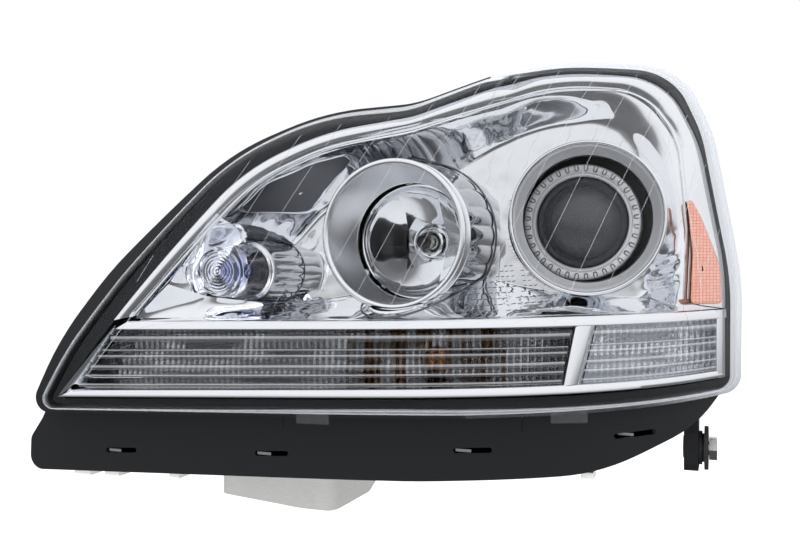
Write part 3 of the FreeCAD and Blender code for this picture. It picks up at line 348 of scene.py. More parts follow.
def mirror(name, colour, rough, wave=0.0, scale=18.0, amber_reflection=None):
    """Vacuum-metallised plastic: a mirror whose surface is very slightly uneven.

    Its last argument is painted reflection: the amber bulb's colour, painted into the middle of the long
    lamp in upright streaks."""
    m, nodes, links, shader = new_material(name)
    dress(shader, {"Metallic": 1.0, "Base Color": (*colour, 1)})
    textured(nodes, links, shader, scale, wave, 0.004, (rough * 0.6, rough * 1.4), detail=2.0)
    if amber_reflection:
        # Painted reflection: the amber bulb's colour mixed into the chrome's colour in upright streaks round
        # the lamp's middle.
        streak = add(nodes, "TexNoise", {"Scale": 1.0})
        squash = add(nodes, "Mapping", {"Scale": (90.0, 0.0, 12.0)})
        split = add(nodes, "SeparateXYZ")
        middle = (AMBER_REFLECTION_MIDDLE - ORIGIN[0]) / 1000.0
        near = add(nodes, "Math", {1: middle, 2: AMBER_REFLECTION_REACH}, operation="COMPARE")
        share = add(nodes, "MapRange", {"From Min": 0.42, "From Max": 0.62})
        both = add(nodes, "Math", operation="MULTIPLY")
        tint = add(nodes, "Mix", {"A": (*colour, 1), "B": (*amber_reflection, 1)}, data_type="RGBA")
        coord = add(nodes, "TexCoord")
        links.new(coord.outputs["Object"], squash.inputs["Vector"])
        links.new(squash.outputs["Vector"], streak.inputs["Vector"])
        links.new(coord.outputs["Object"], split.inputs[0])
        links.new(split.outputs["X"], near.inputs[0])
        links.new(streak.outputs["Fac"], share.inputs["Value"])
        links.new(share.outputs["Result"], both.inputs[0])
        links.new(near.outputs[0], both.inputs[1])
        links.new(both.outputs[0], tint.inputs["Factor"])
        links.new(tint.outputs["Result"], shader.inputs["Base Color"])
    return m


def mirroring(nodes, links, base, strength):
    """How much a clear sheet mirrors, the same from both sides: little head on, more aslant."""
    slant = add(nodes, "LayerWeight", {"Blend": 0.5})
    power = add(nodes, "Math", {1: 4.0}, operation="POWER")
    links.new(slant.outputs["Facing"], power.inputs[0])
    total = add(nodes, "Math", {1: strength, 2: base}, operation="MULTIPLY_ADD")
    links.new(power.outputs[0], total.inputs[0])
    return total.outputs[0]


def window(name, tint, haze=0.0, milky=(0.62, 0.65, 0.69), base=0.03, strength=0.6, painted_light_upper=None):
    """Thin clear plastic: what is behind shows through, and its surface mirrors by angle.

    haze is the milky share, and the last argument that share in the top right part: painted light, standing
    in for the white background bent through the thick edge there."""
    m, nodes, links, shader = new_material(name)
    dress(shader, {"Base Color": (0.95, 0.96, 0.98, 1), "Metallic": 1.0, "Roughness": 0.02})
    clear = add(nodes, "BsdfTransparent", {"Color": (*tint, 1)})
    last = add(nodes, "MixShader")
    links.new(mirroring(nodes, links, base, strength), last.inputs[0])
    links.new(clear.outputs[0], last.inputs[1])
    links.new(shader.outputs[0], last.inputs[2])
    if haze or painted_light_upper:
        milk = add(nodes, "BsdfPrincipled", {"Base Color": (*milky, 1), "Roughness": 0.2})
        blend = add(nodes, "MixShader", {0: haze})
        # Painted light: the milky share rises towards the top right, where light is bent through the thick
        # edge.
        if painted_light_upper:
            coord = add(nodes, "TexCoord")
            along = add(nodes, "VectorMath", {1: (1.0, 0.0, 0.9)}, operation="DOT_PRODUCT")
            span = {"From Min": -0.02, "From Max": 0.12, "To Min": haze, "To Max": painted_light_upper}
            share = add(nodes, "MapRange", span, interpolation_type="SMOOTHSTEP")
            links.new(coord.outputs["Object"], along.inputs[0])
            links.new(along.outputs["Value"], share.inputs["Value"])
            links.new(share.outputs["Result"], blend.inputs[0])
        links.new(last.outputs[0], blend.inputs[1])
        links.new(milk.outputs[0], blend.inputs[2])
        last = blend
    links.new(last.outputs[0], nodes["Material Output"].inputs["Surface"])
    return m


def glass(name, colour, rough=0.01, ior=1.49, scale=60.0, bump=0.02):
    """Solid clear plastic or glass that bends light."""
    m, nodes, links, shader = new_material(name)
    dress(shader, {"Base Color": (*colour, 1), "Transmission Weight": 1.0, "IOR": ior})
    textured(nodes, links, shader, scale, bump, 0.001, (rough * 0.5, rough * 1.5), detail=1.0)
    return m


def prism_grid(name, colour):
    """Amber reflex plastic with a fine moulded grid, in squares of PRISM metres."""
    m, nodes, links, shader = new_material(name)
    red, green, blue = colour
    coord = add(nodes, "TexCoord")
    brick = add(nodes, "TexBrick", {
        "Scale": 1.0, "Brick Width": PRISM, "Row Height": PRISM, "Mortar Size": PRISM / 6,
        "Mortar Smooth": 1.0,
        "Color1": (red, green, blue, 1), "Color2": (red, green * 1.25, blue * 1.3, 1),
        "Mortar": (red * 0.75, green * 0.6, blue * 0.6, 1),
    }, offset=0.0)
    swap = add(nodes, "Mapping", {"Rotation": (math.radians(90), 0, 0)})
    links.new(coord.outputs["Object"], swap.inputs["Vector"])
    links.new(swap.outputs["Vector"], brick.inputs["Vector"])
    links.new(brick.outputs["Color"], shader.inputs["Base Color"])
    bump = add(nodes, "Bump", {"Strength": 0.5, "Distance": 0.0006}, invert=True)
    links.new(brick.outputs["Fac"], bump.inputs["Height"])
    links.new(bump.outputs["Normal"], shader.inputs["Normal"])
    dress(shader, {"Roughness": 0.22, "Coat Weight": 0.5})
    return m


CHROME = mirror("chrome", (0.87, 0.88, 0.90), 0.05, 0.05, 14.0)
CHROME_WAVY = mirror("chrome_wavy", (0.86, 0.87, 0.89), 0.05, 0.35, 26.0)
CHROME_SATIN = mirror("chrome_satin", (0.72, 0.73, 0.75), 0.26, 0.03, 10.0)
CHROME_DARK = mirror("chrome_dark", (0.16, 0.165, 0.18), 0.30, 0.05, 8.0)
SMOKED = mirror("smoked_chrome", (0.17, 0.175, 0.19), 0.42, 0.02, 8.0)
# Darker chrome of the turn signal, with the amber bulb's reflection painted into its colour.
TINTED_CHROME_AMBER_REFLECTION = mirror("tinted_chrome_amber_reflection", (0.43, 0.435, 0.445), 0.07, 0.05, 30.0, amber_reflection=(0.16, 0.08, 0.035))
LENS_CLEAR = window("lens_clear", (0.99, 0.992, 0.995), base=0.002, strength=0.25)
# The skirt and bead turn milky white towards the top right: painted light.
LENS_SKIRT = window("lens_skirt", (0.97, 0.975, 0.985), 0.02, (0.66, 0.69, 0.73), painted_light_upper=0.62)
LENS_BEAD = window("lens_bead", (0.9, 0.92, 0.95), 0.28, (0.70, 0.72, 0.76), painted_light_upper=0.55)
BAR = window("bar_plastic", (0.93, 0.94, 0.95), base=0.36, strength=0.6)
LENS_LINE = window("lens_line", (0.93, 0.94, 0.95), 0.28, (0.80, 0.81, 0.83))
OPTIC_BLUE = glass("position_optic", (0.93, 0.94, 0.985), 0.012)
# The projector lens's clear glass is drawn dark grey and milky: painted shade of the dark inside seen
# through it.
LENS_GLASS = window("projector_glass", (0.30, 0.31, 0.33), 0.6, (0.09, 0.093, 0.102), base=0.02,
                    strength=0.6)
BULB_GLASS = glass("bulb_glass", (0.93, 0.95, 0.97), 0.01, 1.46)
AMBER_GLASS = glass("amber_glass", (0.55, 0.25, 0.06), 0.03, 1.46)
BLUE_GLASS = glass("blue_glass", (0.38, 0.48, 0.92), 0.03, 1.46)
AMBER_REFLEX = prism_grid("amber_reflex", (0.60, 0.26, 0.19))
CASING = solid("black_casing", (0.011, 0.0118, 0.0135), 0.46, scale=3000.0, bump=0.02, distance=0.00005,
               sheen=0.22, shade=0.05)
BLACK = solid("black_polymer", (0.028, 0.028, 0.030), 0.38, scale=1500.0, bump=0.15, distance=0.0002)
GREY = solid("grey_polymer", (0.36, 0.37, 0.38), 0.45, scale=1200.0)
WHITE = solid("white_polymer", (0.78, 0.78, 0.76), 0.40, scale=1200.0, shade=0.04)
SEALANT = solid("sealant", (0.02, 0.02, 0.022), 0.40, scale=500.0, bump=0.1)
RUBBER = solid("rubber_black", (0.022, 0.022, 0.022), 0.65, scale=2200.0, bump=0.3)
CAST = solid("die_cast", (0.50, 0.51, 0.53), 0.34, 1.0, scale=900.0, bump=0.2, distance=0.0002)
CAN = solid("can", (0.86, 0.86, 0.84), 0.34, 0.55, scale=160.0, bump=0.12, distance=0.0005,
            stretch=(1, 1, 8))
ZINC = solid("zinc_steel", (0.62, 0.62, 0.60), 0.28, 1.0, scale=700.0, bump=0.1)
WIRE = solid("spring_steel", (0.66, 0.66, 0.67), 0.20, 1.0, scale=900.0, bump=0.05)
POTTING = solid("potting", (0.10, 0.10, 0.10), 0.5, scale=300.0)
BURNT = solid("bulb_cap", (0.02, 0.02, 0.022), 0.35, scale=900.0)
RING_METAL = solid("lens_ring", (0.60, 0.61, 0.63), 0.34, 0.30, scale=1500.0, bump=0.05, distance=0.0001,
                   shade=0.03)
SLEEVE_SATIN = solid("sleeve_satin", (0.44, 0.45, 0.47), 0.36, 0.35, scale=900.0, bump=0.03,
                     distance=0.0001, shade=0.03)
# Fluted chrome of the barrels, darker than the other chrome: painted shade.
CHROME_FLUTED_SHADED = mirror("chrome_fluted_shaded", (0.50, 0.51, 0.53), 0.08, 0.05, 20.0)
CORNER_CHROME = mirror("corner_chrome", (0.80, 0.81, 0.83), 0.09, 0.05, 30.0)

CAD_LOOKS = {
    "rear_housing": CASING, "lens_seal": SEALANT, "position_bulb_holder": BLACK,
    "turn_signal_bulb_holder": GREY, "corner_bulb_holder": GREY, "carrier_frame": BLACK,
    "pivot_ball": WHITE, "levelling_spindle": WHITE, "levelling_motor": BLACK,
    "lateral_adjuster_slider": WHITE, "lateral_adjuster_screw": WHITE, "high_beam_bulb_clip": WIRE,
    "bulb_clip_lugs": ZINC, "projector_housing": CAST, "projector_reflector": CHROME_SATIN,
    "shutter_flap": ZINC, "shutter_pin": ZINC, "shutter_solenoid": ZINC, "xenon_bulb": BULB_GLASS,
    "xenon_igniter": ZINC, "module_screws": ZINC, "high_beam_service_cap": BLACK,
    "high_beam_cap_seal": RUBBER, "xenon_service_cap": BLACK, "xenon_cap_seal": RUBBER,
    "xenon_ballast": CAN, "ballast_electronics": POTTING, "ballast_connector": BLACK,
    "ballast_screws": ZINC, "mounting_grommet": RUBBER, "mounting_bush": ZINC, "main_connector": BLACK,
    "vent_caps": RUBBER, "chin_clips": WIRE, "bumper_clips": WHITE, "position_bulb": BLUE_GLASS,
    "turn_signal_bulb": AMBER_GLASS, "corner_bulb": AMBER_GLASS,
}


# ---- lens ---------------------------------------------------------------------------------------
def ring_at(radius, angles, depth, crease=30.0):
    """Points at a polar radius, lying at a depth behind the lens's front surface."""
    x = CENTRE[0] + radius * np.cos(angles)
    z = CENTRE[1] + radius * np.sin(angles)
    return np.stack([x, front_y(x, z, crease) + depth, z], axis=1)


def lens_roll(inset):
    """How far the face has rolled back at a distance inside the outline."""
    t = np.clip(1.0 - inset / ROLL_WIDTH, 0.0, 1.0)
    return ROLL_DEPTH * t**2.4


def lens():
    """Clear cover: skirt, rolled edge, outer face and inner face, with its foot and two tabs."""
    angles = np.linspace(-math.pi, math.pi, 1200, endpoint=False)
    rim = polar(LENS, angles)
    insets = [0.25 * k * k * 0.35 + 0.6 * k for k in range(16)]
    edge, face = insets[:6], insets[5:]
    whole = rim - insets[-1]

    def ring(inset, back):
        return ring_at(rim - inset, angles, lens_roll(inset) + back, LENS_CREASE)

    def middle(back):
        return [ring_at(whole * (1 - k / 56), angles, back, LENS_CREASE) for k in range(1, 56)]

    bead = [ring_at(rim, angles, ROLL_DEPTH + 2.2, LENS_CREASE)] + [ring(i, 0.0) for i in edge]
    skirt = [ring_at(rim, angles, SKIRT_END, LENS_CREASE), bead[0]]
    outer = [ring(i, 0.0) for i in face] + middle(0.0)
    inner = [ring_at(rim - EDGE_WALL, angles, SKIRT_END, LENS_CREASE)]
    inner += [ring(i + EDGE_WALL, EDGE_WALL) for i in insets] + middle(FACE_WALL)
    foot = [ring_at(rim - EDGE_WALL, angles, SKIRT_END, LENS_CREASE), skirt[0]]
    parts = [grid(skirt, wrap=True), grid(foot, wrap=True), grid(bead, wrap=True), grid(outer, wrap=True)]
    looks = [LENS_SKIRT, LENS_SKIRT, LENS_BEAD, LENS_CLEAR, LENS_CLEAR]
    edges = [lens_flange(), lens_tab(-64, -38), lens_tab(120, 144)]
    return build("lens_visual", parts + [grid(inner, wrap=True)] + edges, looks + [LENS_SKIRT] * 3,
                 nodes=["lens_cover"])


def lens_flange():
    """Flat foot of the lens, lying on the casing's rim along the outboard side."""
    angles = np.linspace(math.radians(-70), math.radians(74), 500)
    near, far = polar(LENS, angles) - 1.5, polar(FLANGE, angles) - 0.08
    profile = [(near, FOOT_FRONT), (far - 1.0, FOOT_FRONT), (far - 0.3, 17.1), (far, 17.9), (far, 19.2)]
    profile += [(far - 0.4, FOOT_BACK), (near, FOOT_BACK)]
    return grid([ring_at(radius, angles, depth, LENS_CREASE) for radius, depth in profile])


def lens_tab(x0, x1):
    """Clear tab hooked over the casing's lower rim."""
    low = -115.0 + 0.03 * (x0 + x1) / 2
    section = [(11, 17.0), (1.2, 17.0), (0.4, 17.2), (0.0, 18.0)]
    section += [(0.0, 19.0), (0.4, 19.7), (1.2, FOOT_BACK), (11, FOOT_BACK)]
    ends = ((0.0, 0.1), (0.5, 0.9), (1.2, 1.0))
    rows = []
    for x, share in [(x0 + d, k) for d, k in ends] + [(x1 - d, k) for d, k in ends[::-1]]:
        z = low + np.array([5.5 + (up - 5.5) * (0.9 + 0.1 * share) for up, _ in section])
        depth = np.array([18.4 + (back - 18.4) * share for _, back in section])
        rows.append(np.stack([x + 0 * z, front_y(x, z, LENS_CREASE) + depth, z], axis=1))
    return grid(rows)


def lens_lines():
    """Fine moulded lines that lean across the inside of the lens, and lines along its edge; the two on the
    rolled rim are painted highlights of its curve.
    """
    parts = []
    for k in range(15):
        foot = -196.0 + 29.5 * k
        low, high = (-30.0, 150.0) if 3 < k < 12 else (-12.0, 140.0)
        z = np.linspace(low, high, 60)
        lean = 0.52 - 0.012 * k
        x = foot + lean * (z - low)
        theta = np.arctan2(z - CENTRE[1], x - CENTRE[0])
        inside = np.hypot(x - CENTRE[0], z - CENTRE[1]) < polar(BEZEL, theta, 3.0)
        x, z = x[inside], z[inside]
        if len(x) > 4:
            parts.append(tube(np.stack([x, front_y(x, z, LENS_CREASE) + 3.3, z], axis=1), 0.16, 5))
    angles = np.linspace(math.radians(-14), math.radians(205), 300)
    parts.append(tube(ring_at(polar(BEZEL, angles, -17.0), angles, 3.4, LENS_CREASE), 0.25, 5))
    rim = np.linspace(-math.pi, math.pi, 900)
    # Two milky lines on the rolled edge: painted highlights of its curve.
    for inset, radius in ((0.4, 0.45), (3.2, 0.35)):
        edge = ring_at(polar(LENS, rim) - inset, rim, lens_roll(inset) - 0.1, LENS_CREASE)
        parts.append(tube(edge, radius, 6))
    return build("lens_mould_lines_and_edge_highlights", parts, LENS_LINE)


# ---- chromed frame ------------------------------------------------------------------------------
BASE_X = (-300, -232, -168, -150, -60, 74, 140, 205, 250, 300)
BASE_Y = (34, 46, 126, 142, 146, 146, 158, 184, 204, 216)


def base_depth(x):
    """Depth of the pocket's floor, eased between its stations."""
    return np.mean([np.interp(x + s, BASE_X, BASE_Y) for s in (-12, -6, 0, 6, 12)], axis=0)


def pocket_depth(x, z, d, width):
    """The bowl inside the frame: d is the distance inside its edge."""
    rim = front_y(x, z) + 22.0
    t = np.clip(d / width, 0.0, 1.0)
    return rim + (np.maximum(base_depth(x), rim + 4.0) - rim) * np.sin(t * math.pi / 2) ** 1.15


def pocket_width(angles):
    """How far in from the frame's edge the bowl takes to reach its floor."""
    return 34.0 + 24.0 * smooth((-np.sin(angles) - 0.15) / 0.4)


def on_pocket(x, z):
    """Depth of the bowl's surface at points seen from the front, with the wrinkles low outboard."""
    angles = np.arctan2(z - CENTRE[1], x - CENTRE[0])
    inside = polar(POCKET, angles) - np.hypot(x - CENTRE[0], z - CENTRE[1])
    wrinkled = smooth((x - 165.0) / 18.0) * smooth((34.0 - z) / 20.0) * smooth(inside / 8.0)
    wave = np.sin(0.30 * z + 1.5 * np.sin(0.11 * x)) + 0.6 * np.sin(0.17 * x - 0.45 * z)
    return pocket_depth(x, z, inside, pocket_width(angles)) + 1.0 + 1.5 * wrinkled * wave


def cut_hole(points, faces, axis, radius):
    """Opens a round hole along Y: nearby points snap to its edge and the faces inside go."""
    off = points[:, [0, 2]] - np.array(axis)
    dist = np.hypot(off[:, 0], off[:, 1])
    near = np.abs(dist - radius) < 1.6
    points[near, 0] = axis[0] + off[near, 0] / dist[near] * radius
    points[near, 2] = axis[1] + off[near, 1] / dist[near] * radius
    dist[near] = radius
    return points, [f for f in faces if not all(dist[i] <= radius + 1e-6 for i in f)]


def bezel():
    """Chromed frame: the face band round the top, and the bowl with three round openings."""
    count = 900
    a0 = math.atan2(-43 - CENTRE[1], -222 - CENTRE[0]) + 2 * math.pi
    a1 = math.atan2(-33 - CENTRE[1], 236 - CENTRE[0])
    angles = np.linspace(a1, a0, count)
    wrapped = (angles + math.pi) % (2 * math.pi) - math.pi
    out, inn = polar(BEZEL, wrapped), polar(POCKET, wrapped)
    rows = [ring_at(out, angles, 30.0), ring_at(out, angles, 17.5)]
    for k in range(6):
        a = math.radians(18 * k)
        rows.append(ring_at(out - 3.0 * (1 - math.cos(a)), angles, 14.0 + 3.0 * (1 - math.sin(a))))
    for t in np.linspace(0, 1, 14):
        crown = 2.2 * math.sin(math.pi * t)
        rows.append(ring_at((out - 3.2) + (inn + 3.6 - out + 3.2) * t, angles, 14.0 + 6.0 * t - crown))
    for d, y in ((3.0, 20.8), (2.4, 19.6), (1.6, 19.2), (0.8, 19.6), (0.2, 21.0), (-0.4, 23.5)):
        rows.append(ring_at(inn + d, angles, y))
    band = grid(rows)

    whole = np.linspace(-math.pi, math.pi, 1080, endpoint=False)
    edge = polar(POCKET, whole)
    rows = []
    for k in range(150):
        r = (edge - 0.4) * (1 - k / 150.0)
        x, z = CENTRE[0] + r * np.cos(whole), CENTRE[1] + r * np.sin(whole)
        rows.append(np.stack([x, on_pocket(x, z), z], axis=1))
    points, faces = grid(rows, wrap=True)
    for axis, radius in FLOOR_HOLES:
        points, faces = cut_hole(points, faces, axis, radius)
    return build("bezel_visual", [band, (points, faces)], [CHROME, CHROME_WAVY], nodes=["bezel"],
                 crisp=50)


def mouldings():
    """Shelf under the pocket, sill under the lower lamps, the slanted divider and both ends."""
    parts = []
    shelf = [(1.35, 60), (1.12, 24), (1.04, 19.0), (0.98, 17.2), (0.90, 16.2), (0.5, 15.2), (0.14, 14.2),
        (0.04, 14.4), (0.0, 16.0), (0.0, 34)]
    parts.append(ribbon(run(SHELF_LOW, -219, 236, 240), run(SHELF_TOP, -208, 236, 240), shelf))
    sill = [(1.0, 34), (1.0, 19.5), (0.96, 17.0), (0.85, 15.4), (0.4, 14.0), (0.1, 14.2), (0.02, 15.2),
        (0.0, 17.5), (0.0, 30)]
    parts.append(ribbon(run(SILL_LOW, -270, 235, 240), run(SILL_TOP, -252, 234, 240), sill))
    across = [(0.0, 34), (0.0, 19), (0.08, 16.6), (0.2, 15.6), (0.5, 15.2), (0.8, 15.6), (0.92, 16.6),
        (1.0, 19), (1.0, 34)]
    heights = np.linspace(0, 1, 24)
    left = np.stack([128 + 7 * heights, -84 + 42 * heights], axis=1)
    right = np.stack([139 + 9 * heights, -83 + 41.5 * heights], axis=1)
    parts.append(ribbon(left, right, across))
    end_out = np.stack([-269 + 50 * heights, -103.5 + 57 * heights], axis=1)
    end_in = np.stack([-252 + 35 * heights, -98 + 49 * heights], axis=1)
    slope = [(0.0, 30), (0.0, 17.5), (0.04, 15.2), (0.12, 14.2), (0.3, 15.0), (0.7, 20), (1.0, 28),
        (1.0, 44)]
    parts.append(ribbon(end_out, end_in, slope))
    rise = np.linspace(-86, -34, 24)
    lip_in, lip_out = np.stack([0 * rise + 228.5, rise], axis=1), np.stack([0 * rise + 235.4, rise], axis=1)
    lip = [(0.0, 34), (0.0, 18), (0.1, 15.6), (0.3, 14.4), (0.8, 14.2), (1.0, 16.5), (1.0, 30)]
    parts.append(ribbon(lip_in, lip_out, lip))
    foot = run(SHELF_TOP, 202, 235, 20)
    parts.append(ribbon(foot - [0, 3], foot + [0, 9], [(0.0, 19.0), (0.5, 18.6), (1.0, 19.0)]))
    return build("lower_mouldings", parts, CHROME, crisp=50)


def dashes():
    """Short ribs in curved rows on the pocket's floor between the two beams."""
    parts = []
    for row in range(9):
        for k in range(22):
            x = 40 + 4.2 * k + 3.4 * row
            z = -34 + 4.2 * row + 0.012 * max(0.0, x - 45) ** 1.35
            from_ring = math.hypot(x - HIGH_BEAM[0], z - HIGH_BEAM[1]) - 64
            from_sleeve = math.hypot(x - SLEEVE[0], z - SLEEVE[1]) - 66
            if x > 128 or (row + k) % 7 == 3 or min(from_ring, from_sleeve) < 0:
                continue
            xs = x + np.array([-1.3, 0.0, 1.3])
            zs = z + np.array([-0.25, 0.0, 0.25])
            parts.append(tube(np.stack([xs, on_pocket(xs, zs) - 0.1, zs], axis=1), 0.30, 6))
    return build("floor_ribs", parts, CHROME_DARK)


def sail_panel():
    """Smoked panel up and inboard of the high beam, with a bright rounded edge."""
    corners = [(-134, 44, 2), (-112, 67, 50), (-76, 83.5, 80), (-41, 92.5, 2), (-70, 75, 40),
        (-86, 64, 30), (-104, 47.5, 14)]
    angles = np.linspace(-math.pi, math.pi, 300, endpoint=False)
    middle = (-100.0, 61.0)
    edge = polar(corners, angles, 0.0, middle)

    def at(radius, lift):
        x, z = middle[0] + radius * np.cos(angles), middle[1] + radius * np.sin(angles)
        return np.stack([x, on_pocket(x, z) - lift, z], axis=1)

    bead = ((2.0, -0.5), (1.5, 0.9), (0.8, 1.5), (0.0, 1.3), (-0.5, 0.3))
    rim = grid([at(edge + out, lift) for out, lift in bead], wrap=True)
    floor = grid([at((edge - 0.4) * (1 - k / 24), 0.5) for k in range(24)], wrap=True)
    return build("sail_panel", [rim, floor], [CHROME, SMOKED])


# ---- high beam ----------------------------------------------------------------------------------
def floor_joint_shadow(axis, radius, thick):
    """Dark ring where a barrel stands in the frame's floor: the joint, drawn dark as painted shadow."""
    phi = np.linspace(0, 2 * math.pi, 181)
    x, z = axis[0] + radius * np.cos(phi), axis[1] + radius * np.sin(phi)
    return tube(np.stack([x, on_pocket(x, z) - 0.2, z], axis=1), thick)


def high_beam_trim():
    """Bright ring with a second bead behind it, the fluted barrel, and the funnel to the reflector."""
    y = RING_FRONT
    ring_profile = arc_points(55.6, y + 1.4, 2.6, 150, 400, 18)
    ring_profile += [(57.0, y + 5), (55.4, y + 7), (55.4, y + 12)]
    bead_profile = [(55.4, y + 12)] + arc_points(57.0, y + 14, 1.5, 210, 420, 10) + [(57.0, y + 16)]
    ring, bead = lathe(ring_profile, HIGH_BEAM, 240), lathe(bead_profile, HIGH_BEAM, 240)

    def flutes(phi, k, depth):
        grow = smooth((depth - y - 16) / 14) * (1 - 0.6 * smooth((depth - 128) / 18))
        broad = np.abs(np.cos(11 * phi + 0.4 * np.sin(3 * phi)))
        return grow * (2.2 * broad**0.7 - 1.2 + 0.5 * np.cos(5 * phi + depth / 14))

    steps = np.linspace(0, 1, 30)
    profile = [(57.0 + 4.0 * math.sin(math.pi / 2 * t), y + 16 + (146 - y - 14) * t) for t in steps]
    barrel = lathe(profile, HIGH_BEAM, 480, flutes)
    skew = []
    for t in np.linspace(0, 1, 14):
        ease = t**1.15
        skew.append((53.2 - 6.2 * ease, y + 2.6 + 36 * t, HIGH_BEAM[0] + 2.0 * t, HIGH_BEAM[1] - 4.0 * t))
    funnel = lathe(skew, HIGH_BEAM, 200)
    lip = lathe([(47.0, 108.6), (46.4, 109.4), (46.8, 110.4), (48.4, 110.4)], REFLECTOR, 200)
    # Dark ring at the barrel's foot: painted shadow along the joint.
    joint_shadow = floor_joint_shadow(HIGH_BEAM, 62.3, 0.8)
    looks = [CHROME, CHROME, CHROME_FLUTED_SHADED, CHROME_SATIN, CHROME, CHROME_DARK]
    return build("high_beam_trim_visual", [ring, bead, barrel, funnel, lip, joint_shadow], looks,
                 nodes=["high_beam_trim_ring"], crisp=60)


def high_beam_bowl():
    """Dished reflector made of large free-form panels."""
    count, rings = 360, 70
    phi = np.arange(count) * 2 * math.pi / count
    rows = []
    for k in range(rings + 1):
        t = k / rings
        r = 44.5 + (9.2 - 44.5) * t
        dx, dz = r * np.cos(phi), r * np.sin(phi)
        y = 118 + 45 * t**0.55
        column = (dx + 50) / 32.0
        row = (dz + 49) / 46.0
        fx, fz = column - np.floor(column) - 0.5, row - np.floor(row) - 0.5
        panel = 2.6 * fx * fx + 2.2 * fz * fz
        fade = smooth((44.5 - r) / 4.0) * smooth((r - 9.2) / 6.0)
        rows.append(np.stack([REFLECTOR[0] + dx, y - panel * fade, REFLECTOR[1] + dz], axis=1))
    bowl = grid(rows, wrap=True)
    rim = lathe([(44.5, 118.0), (45.2, 117.4), (46.4, 117.4), (47.0, 118.2), (47.0, 121.5), (45.5, 122)],
        REFLECTOR, 200)
    shell = [(44.5 - 35.3 * k / 20, 118 + 45 * (k / 20) ** 0.55) for k in range(21)]
    back = lathe([(r + 1.6, y + 1.8) for r, y in shell], REFLECTOR, 120)
    neck = lathe([(9.2, 163), (9.2, 172), (16, 172), (16, 165), (11, 165)], REFLECTOR, 80)
    collar = lathe([(12.2, 158.2), (11.6, 156.6), (10.4, 156.2), (9.3, 157.2), (9.2, 163)], REFLECTOR, 80)
    looks = [CHROME, CHROME, CHROME_SATIN, ZINC, CHROME]
    return build("high_beam_bowl", [bowl, rim, back, neck, collar], looks, body="carrier",
                 nodes=["high_beam_reflector"], crisp=30)


def halogen_bulb():
    """Halogen bulb with a blacked tip, its inner stem, and the metal flange and foot."""
    cap = lathe([(0.3, 133.2), (3.0, 133.6), (4.9, 135.2), (5.6, 137.4), (5.7, 143.0), (5.5, 143.4)],
        REFLECTOR, 48)
    tube_glass = lathe([(5.6, 143.0), (5.6, 156), (5.0, 160), (4.4, 166)], REFLECTOR, 48)
    stem = lathe([(0.3, 144), (1.1, 144.5), (1.2, 151), (2.4, 153), (2.6, 163)], REFLECTOR, 24)
    foot = [(4.6, 159), (6.4, 160), (6.6, 168), (8.2, 169), (8.2, 172.2), (13.4, 172.3), (13.4, 173.9)]
    foot += [(8, 174.1), (7.4, 175), (7.4, 186.3), (0.3, 186.4)]
    base = lathe(foot, REFLECTOR, 64)
    return build("halogen_bulb", [cap, tube_glass, stem, base], [BURNT, BULB_GLASS, ZINC, ZINC],
                 body="carrier", nodes=["high_beam_bulb"])


# ---- projector ----------------------------------------------------------------------------------
def projector_sleeve():
    """Trim sleeve, turned outboard: bright outside, satin cone inside, dark ledge at the cone's end."""
    y = SLEEVE_FRONT
    lean = (SLEEVE_TURN, (SLEEVE[0], y))
    outer = arc_points(59.4, y + 1.4, 1.4, 180, 360, 10) + [(61.4, y + 6), (62.6, y + 20), (62.6, y + 36)]
    cone = [(58.0, y + 1.4), (57.4, y + 3.2), (56.6, y + 3.6), (55.9, y + 5.6), (51.6, y + 16),
        (51.0, y + 16.6)]
    ledge = [(51.0, y + 16.6), (50.4, y + 17.6), (50.2, y + 20.5), (50.6, y + 24), (53.5, y + 25)]
    parts = [lathe(profile, SLEEVE, 220, lean=lean) for profile in (outer, cone, ledge)]
    return build("projector_sleeve_visual", parts, [CHROME, SLEEVE_SATIN, CHROME_DARK],
                 nodes=["projector_trim_sleeve"], crisp=50)


def lens_ring():
    """Silver ring with a row of U-shaped ribs round its face, drawn in dark chrome as painted shade."""
    profile = [(47.4, 187.8), (47.4, 169.4), (46.9, 168.4), (45.8, 168.1), (41.4, 168.4), (40.6, 169.0)]
    profile += [(39.9, 170.6), (38.6, 170.3), (37.6, 171.2), (37.3, 173.0)]
    parts = [lathe(profile, PROJECTOR, 240)]
    for i in range(RIBS):
        angle = math.radians(360 / RIBS * (i + 0.5))
        out = np.array([math.cos(angle), math.sin(angle)])
        side = np.array([-math.sin(angle), math.cos(angle)])
        path = []
        for k in range(13):
            a = math.radians(-90 - 15 * k)
            r, s = 43.2 + 1.5 * math.cos(a) * 0.9, 1.35 * math.sin(a)
            path.append((r, s))
        path = [(46.0, path[0][1])] + path + [(46.0, path[-1][1])]
        wire = []
        for r, s in path:
            x, z = np.array(PROJECTOR) + out * r + side * s
            wire.append((x, 168.0, z))
        parts.append(tube(wire, 0.4, 6))
    # The ribs are dark chrome: painted shade of their grooves.
    return build("projector_ring_visual", parts, [RING_METAL] + [CHROME_DARK] * RIBS, body="carrier",
                 nodes=["projector_lens_ring"], crisp=60)


def projector_glass():
    """Thick lens, flat behind and domed in front."""
    height, radius = 26.0, 38.0
    sphere = (radius**2 + height**2) / (2 * height)
    profile = [(0.05, 179.0), (radius * 0.5, 179.0), (radius - 0.4, 179.0), (radius, 178.6),
        (radius, 176.2)]
    for k in range(1, 41):
        r = radius * (1 - k / 40)
        profile.append((max(r, 0.05), 150.0 + sphere - math.sqrt(sphere**2 - r * r)))
    return build("projector_glass", [lathe(profile, PROJECTOR, 160)], LENS_GLASS, body="carrier",
                 nodes=["projector_lens"])


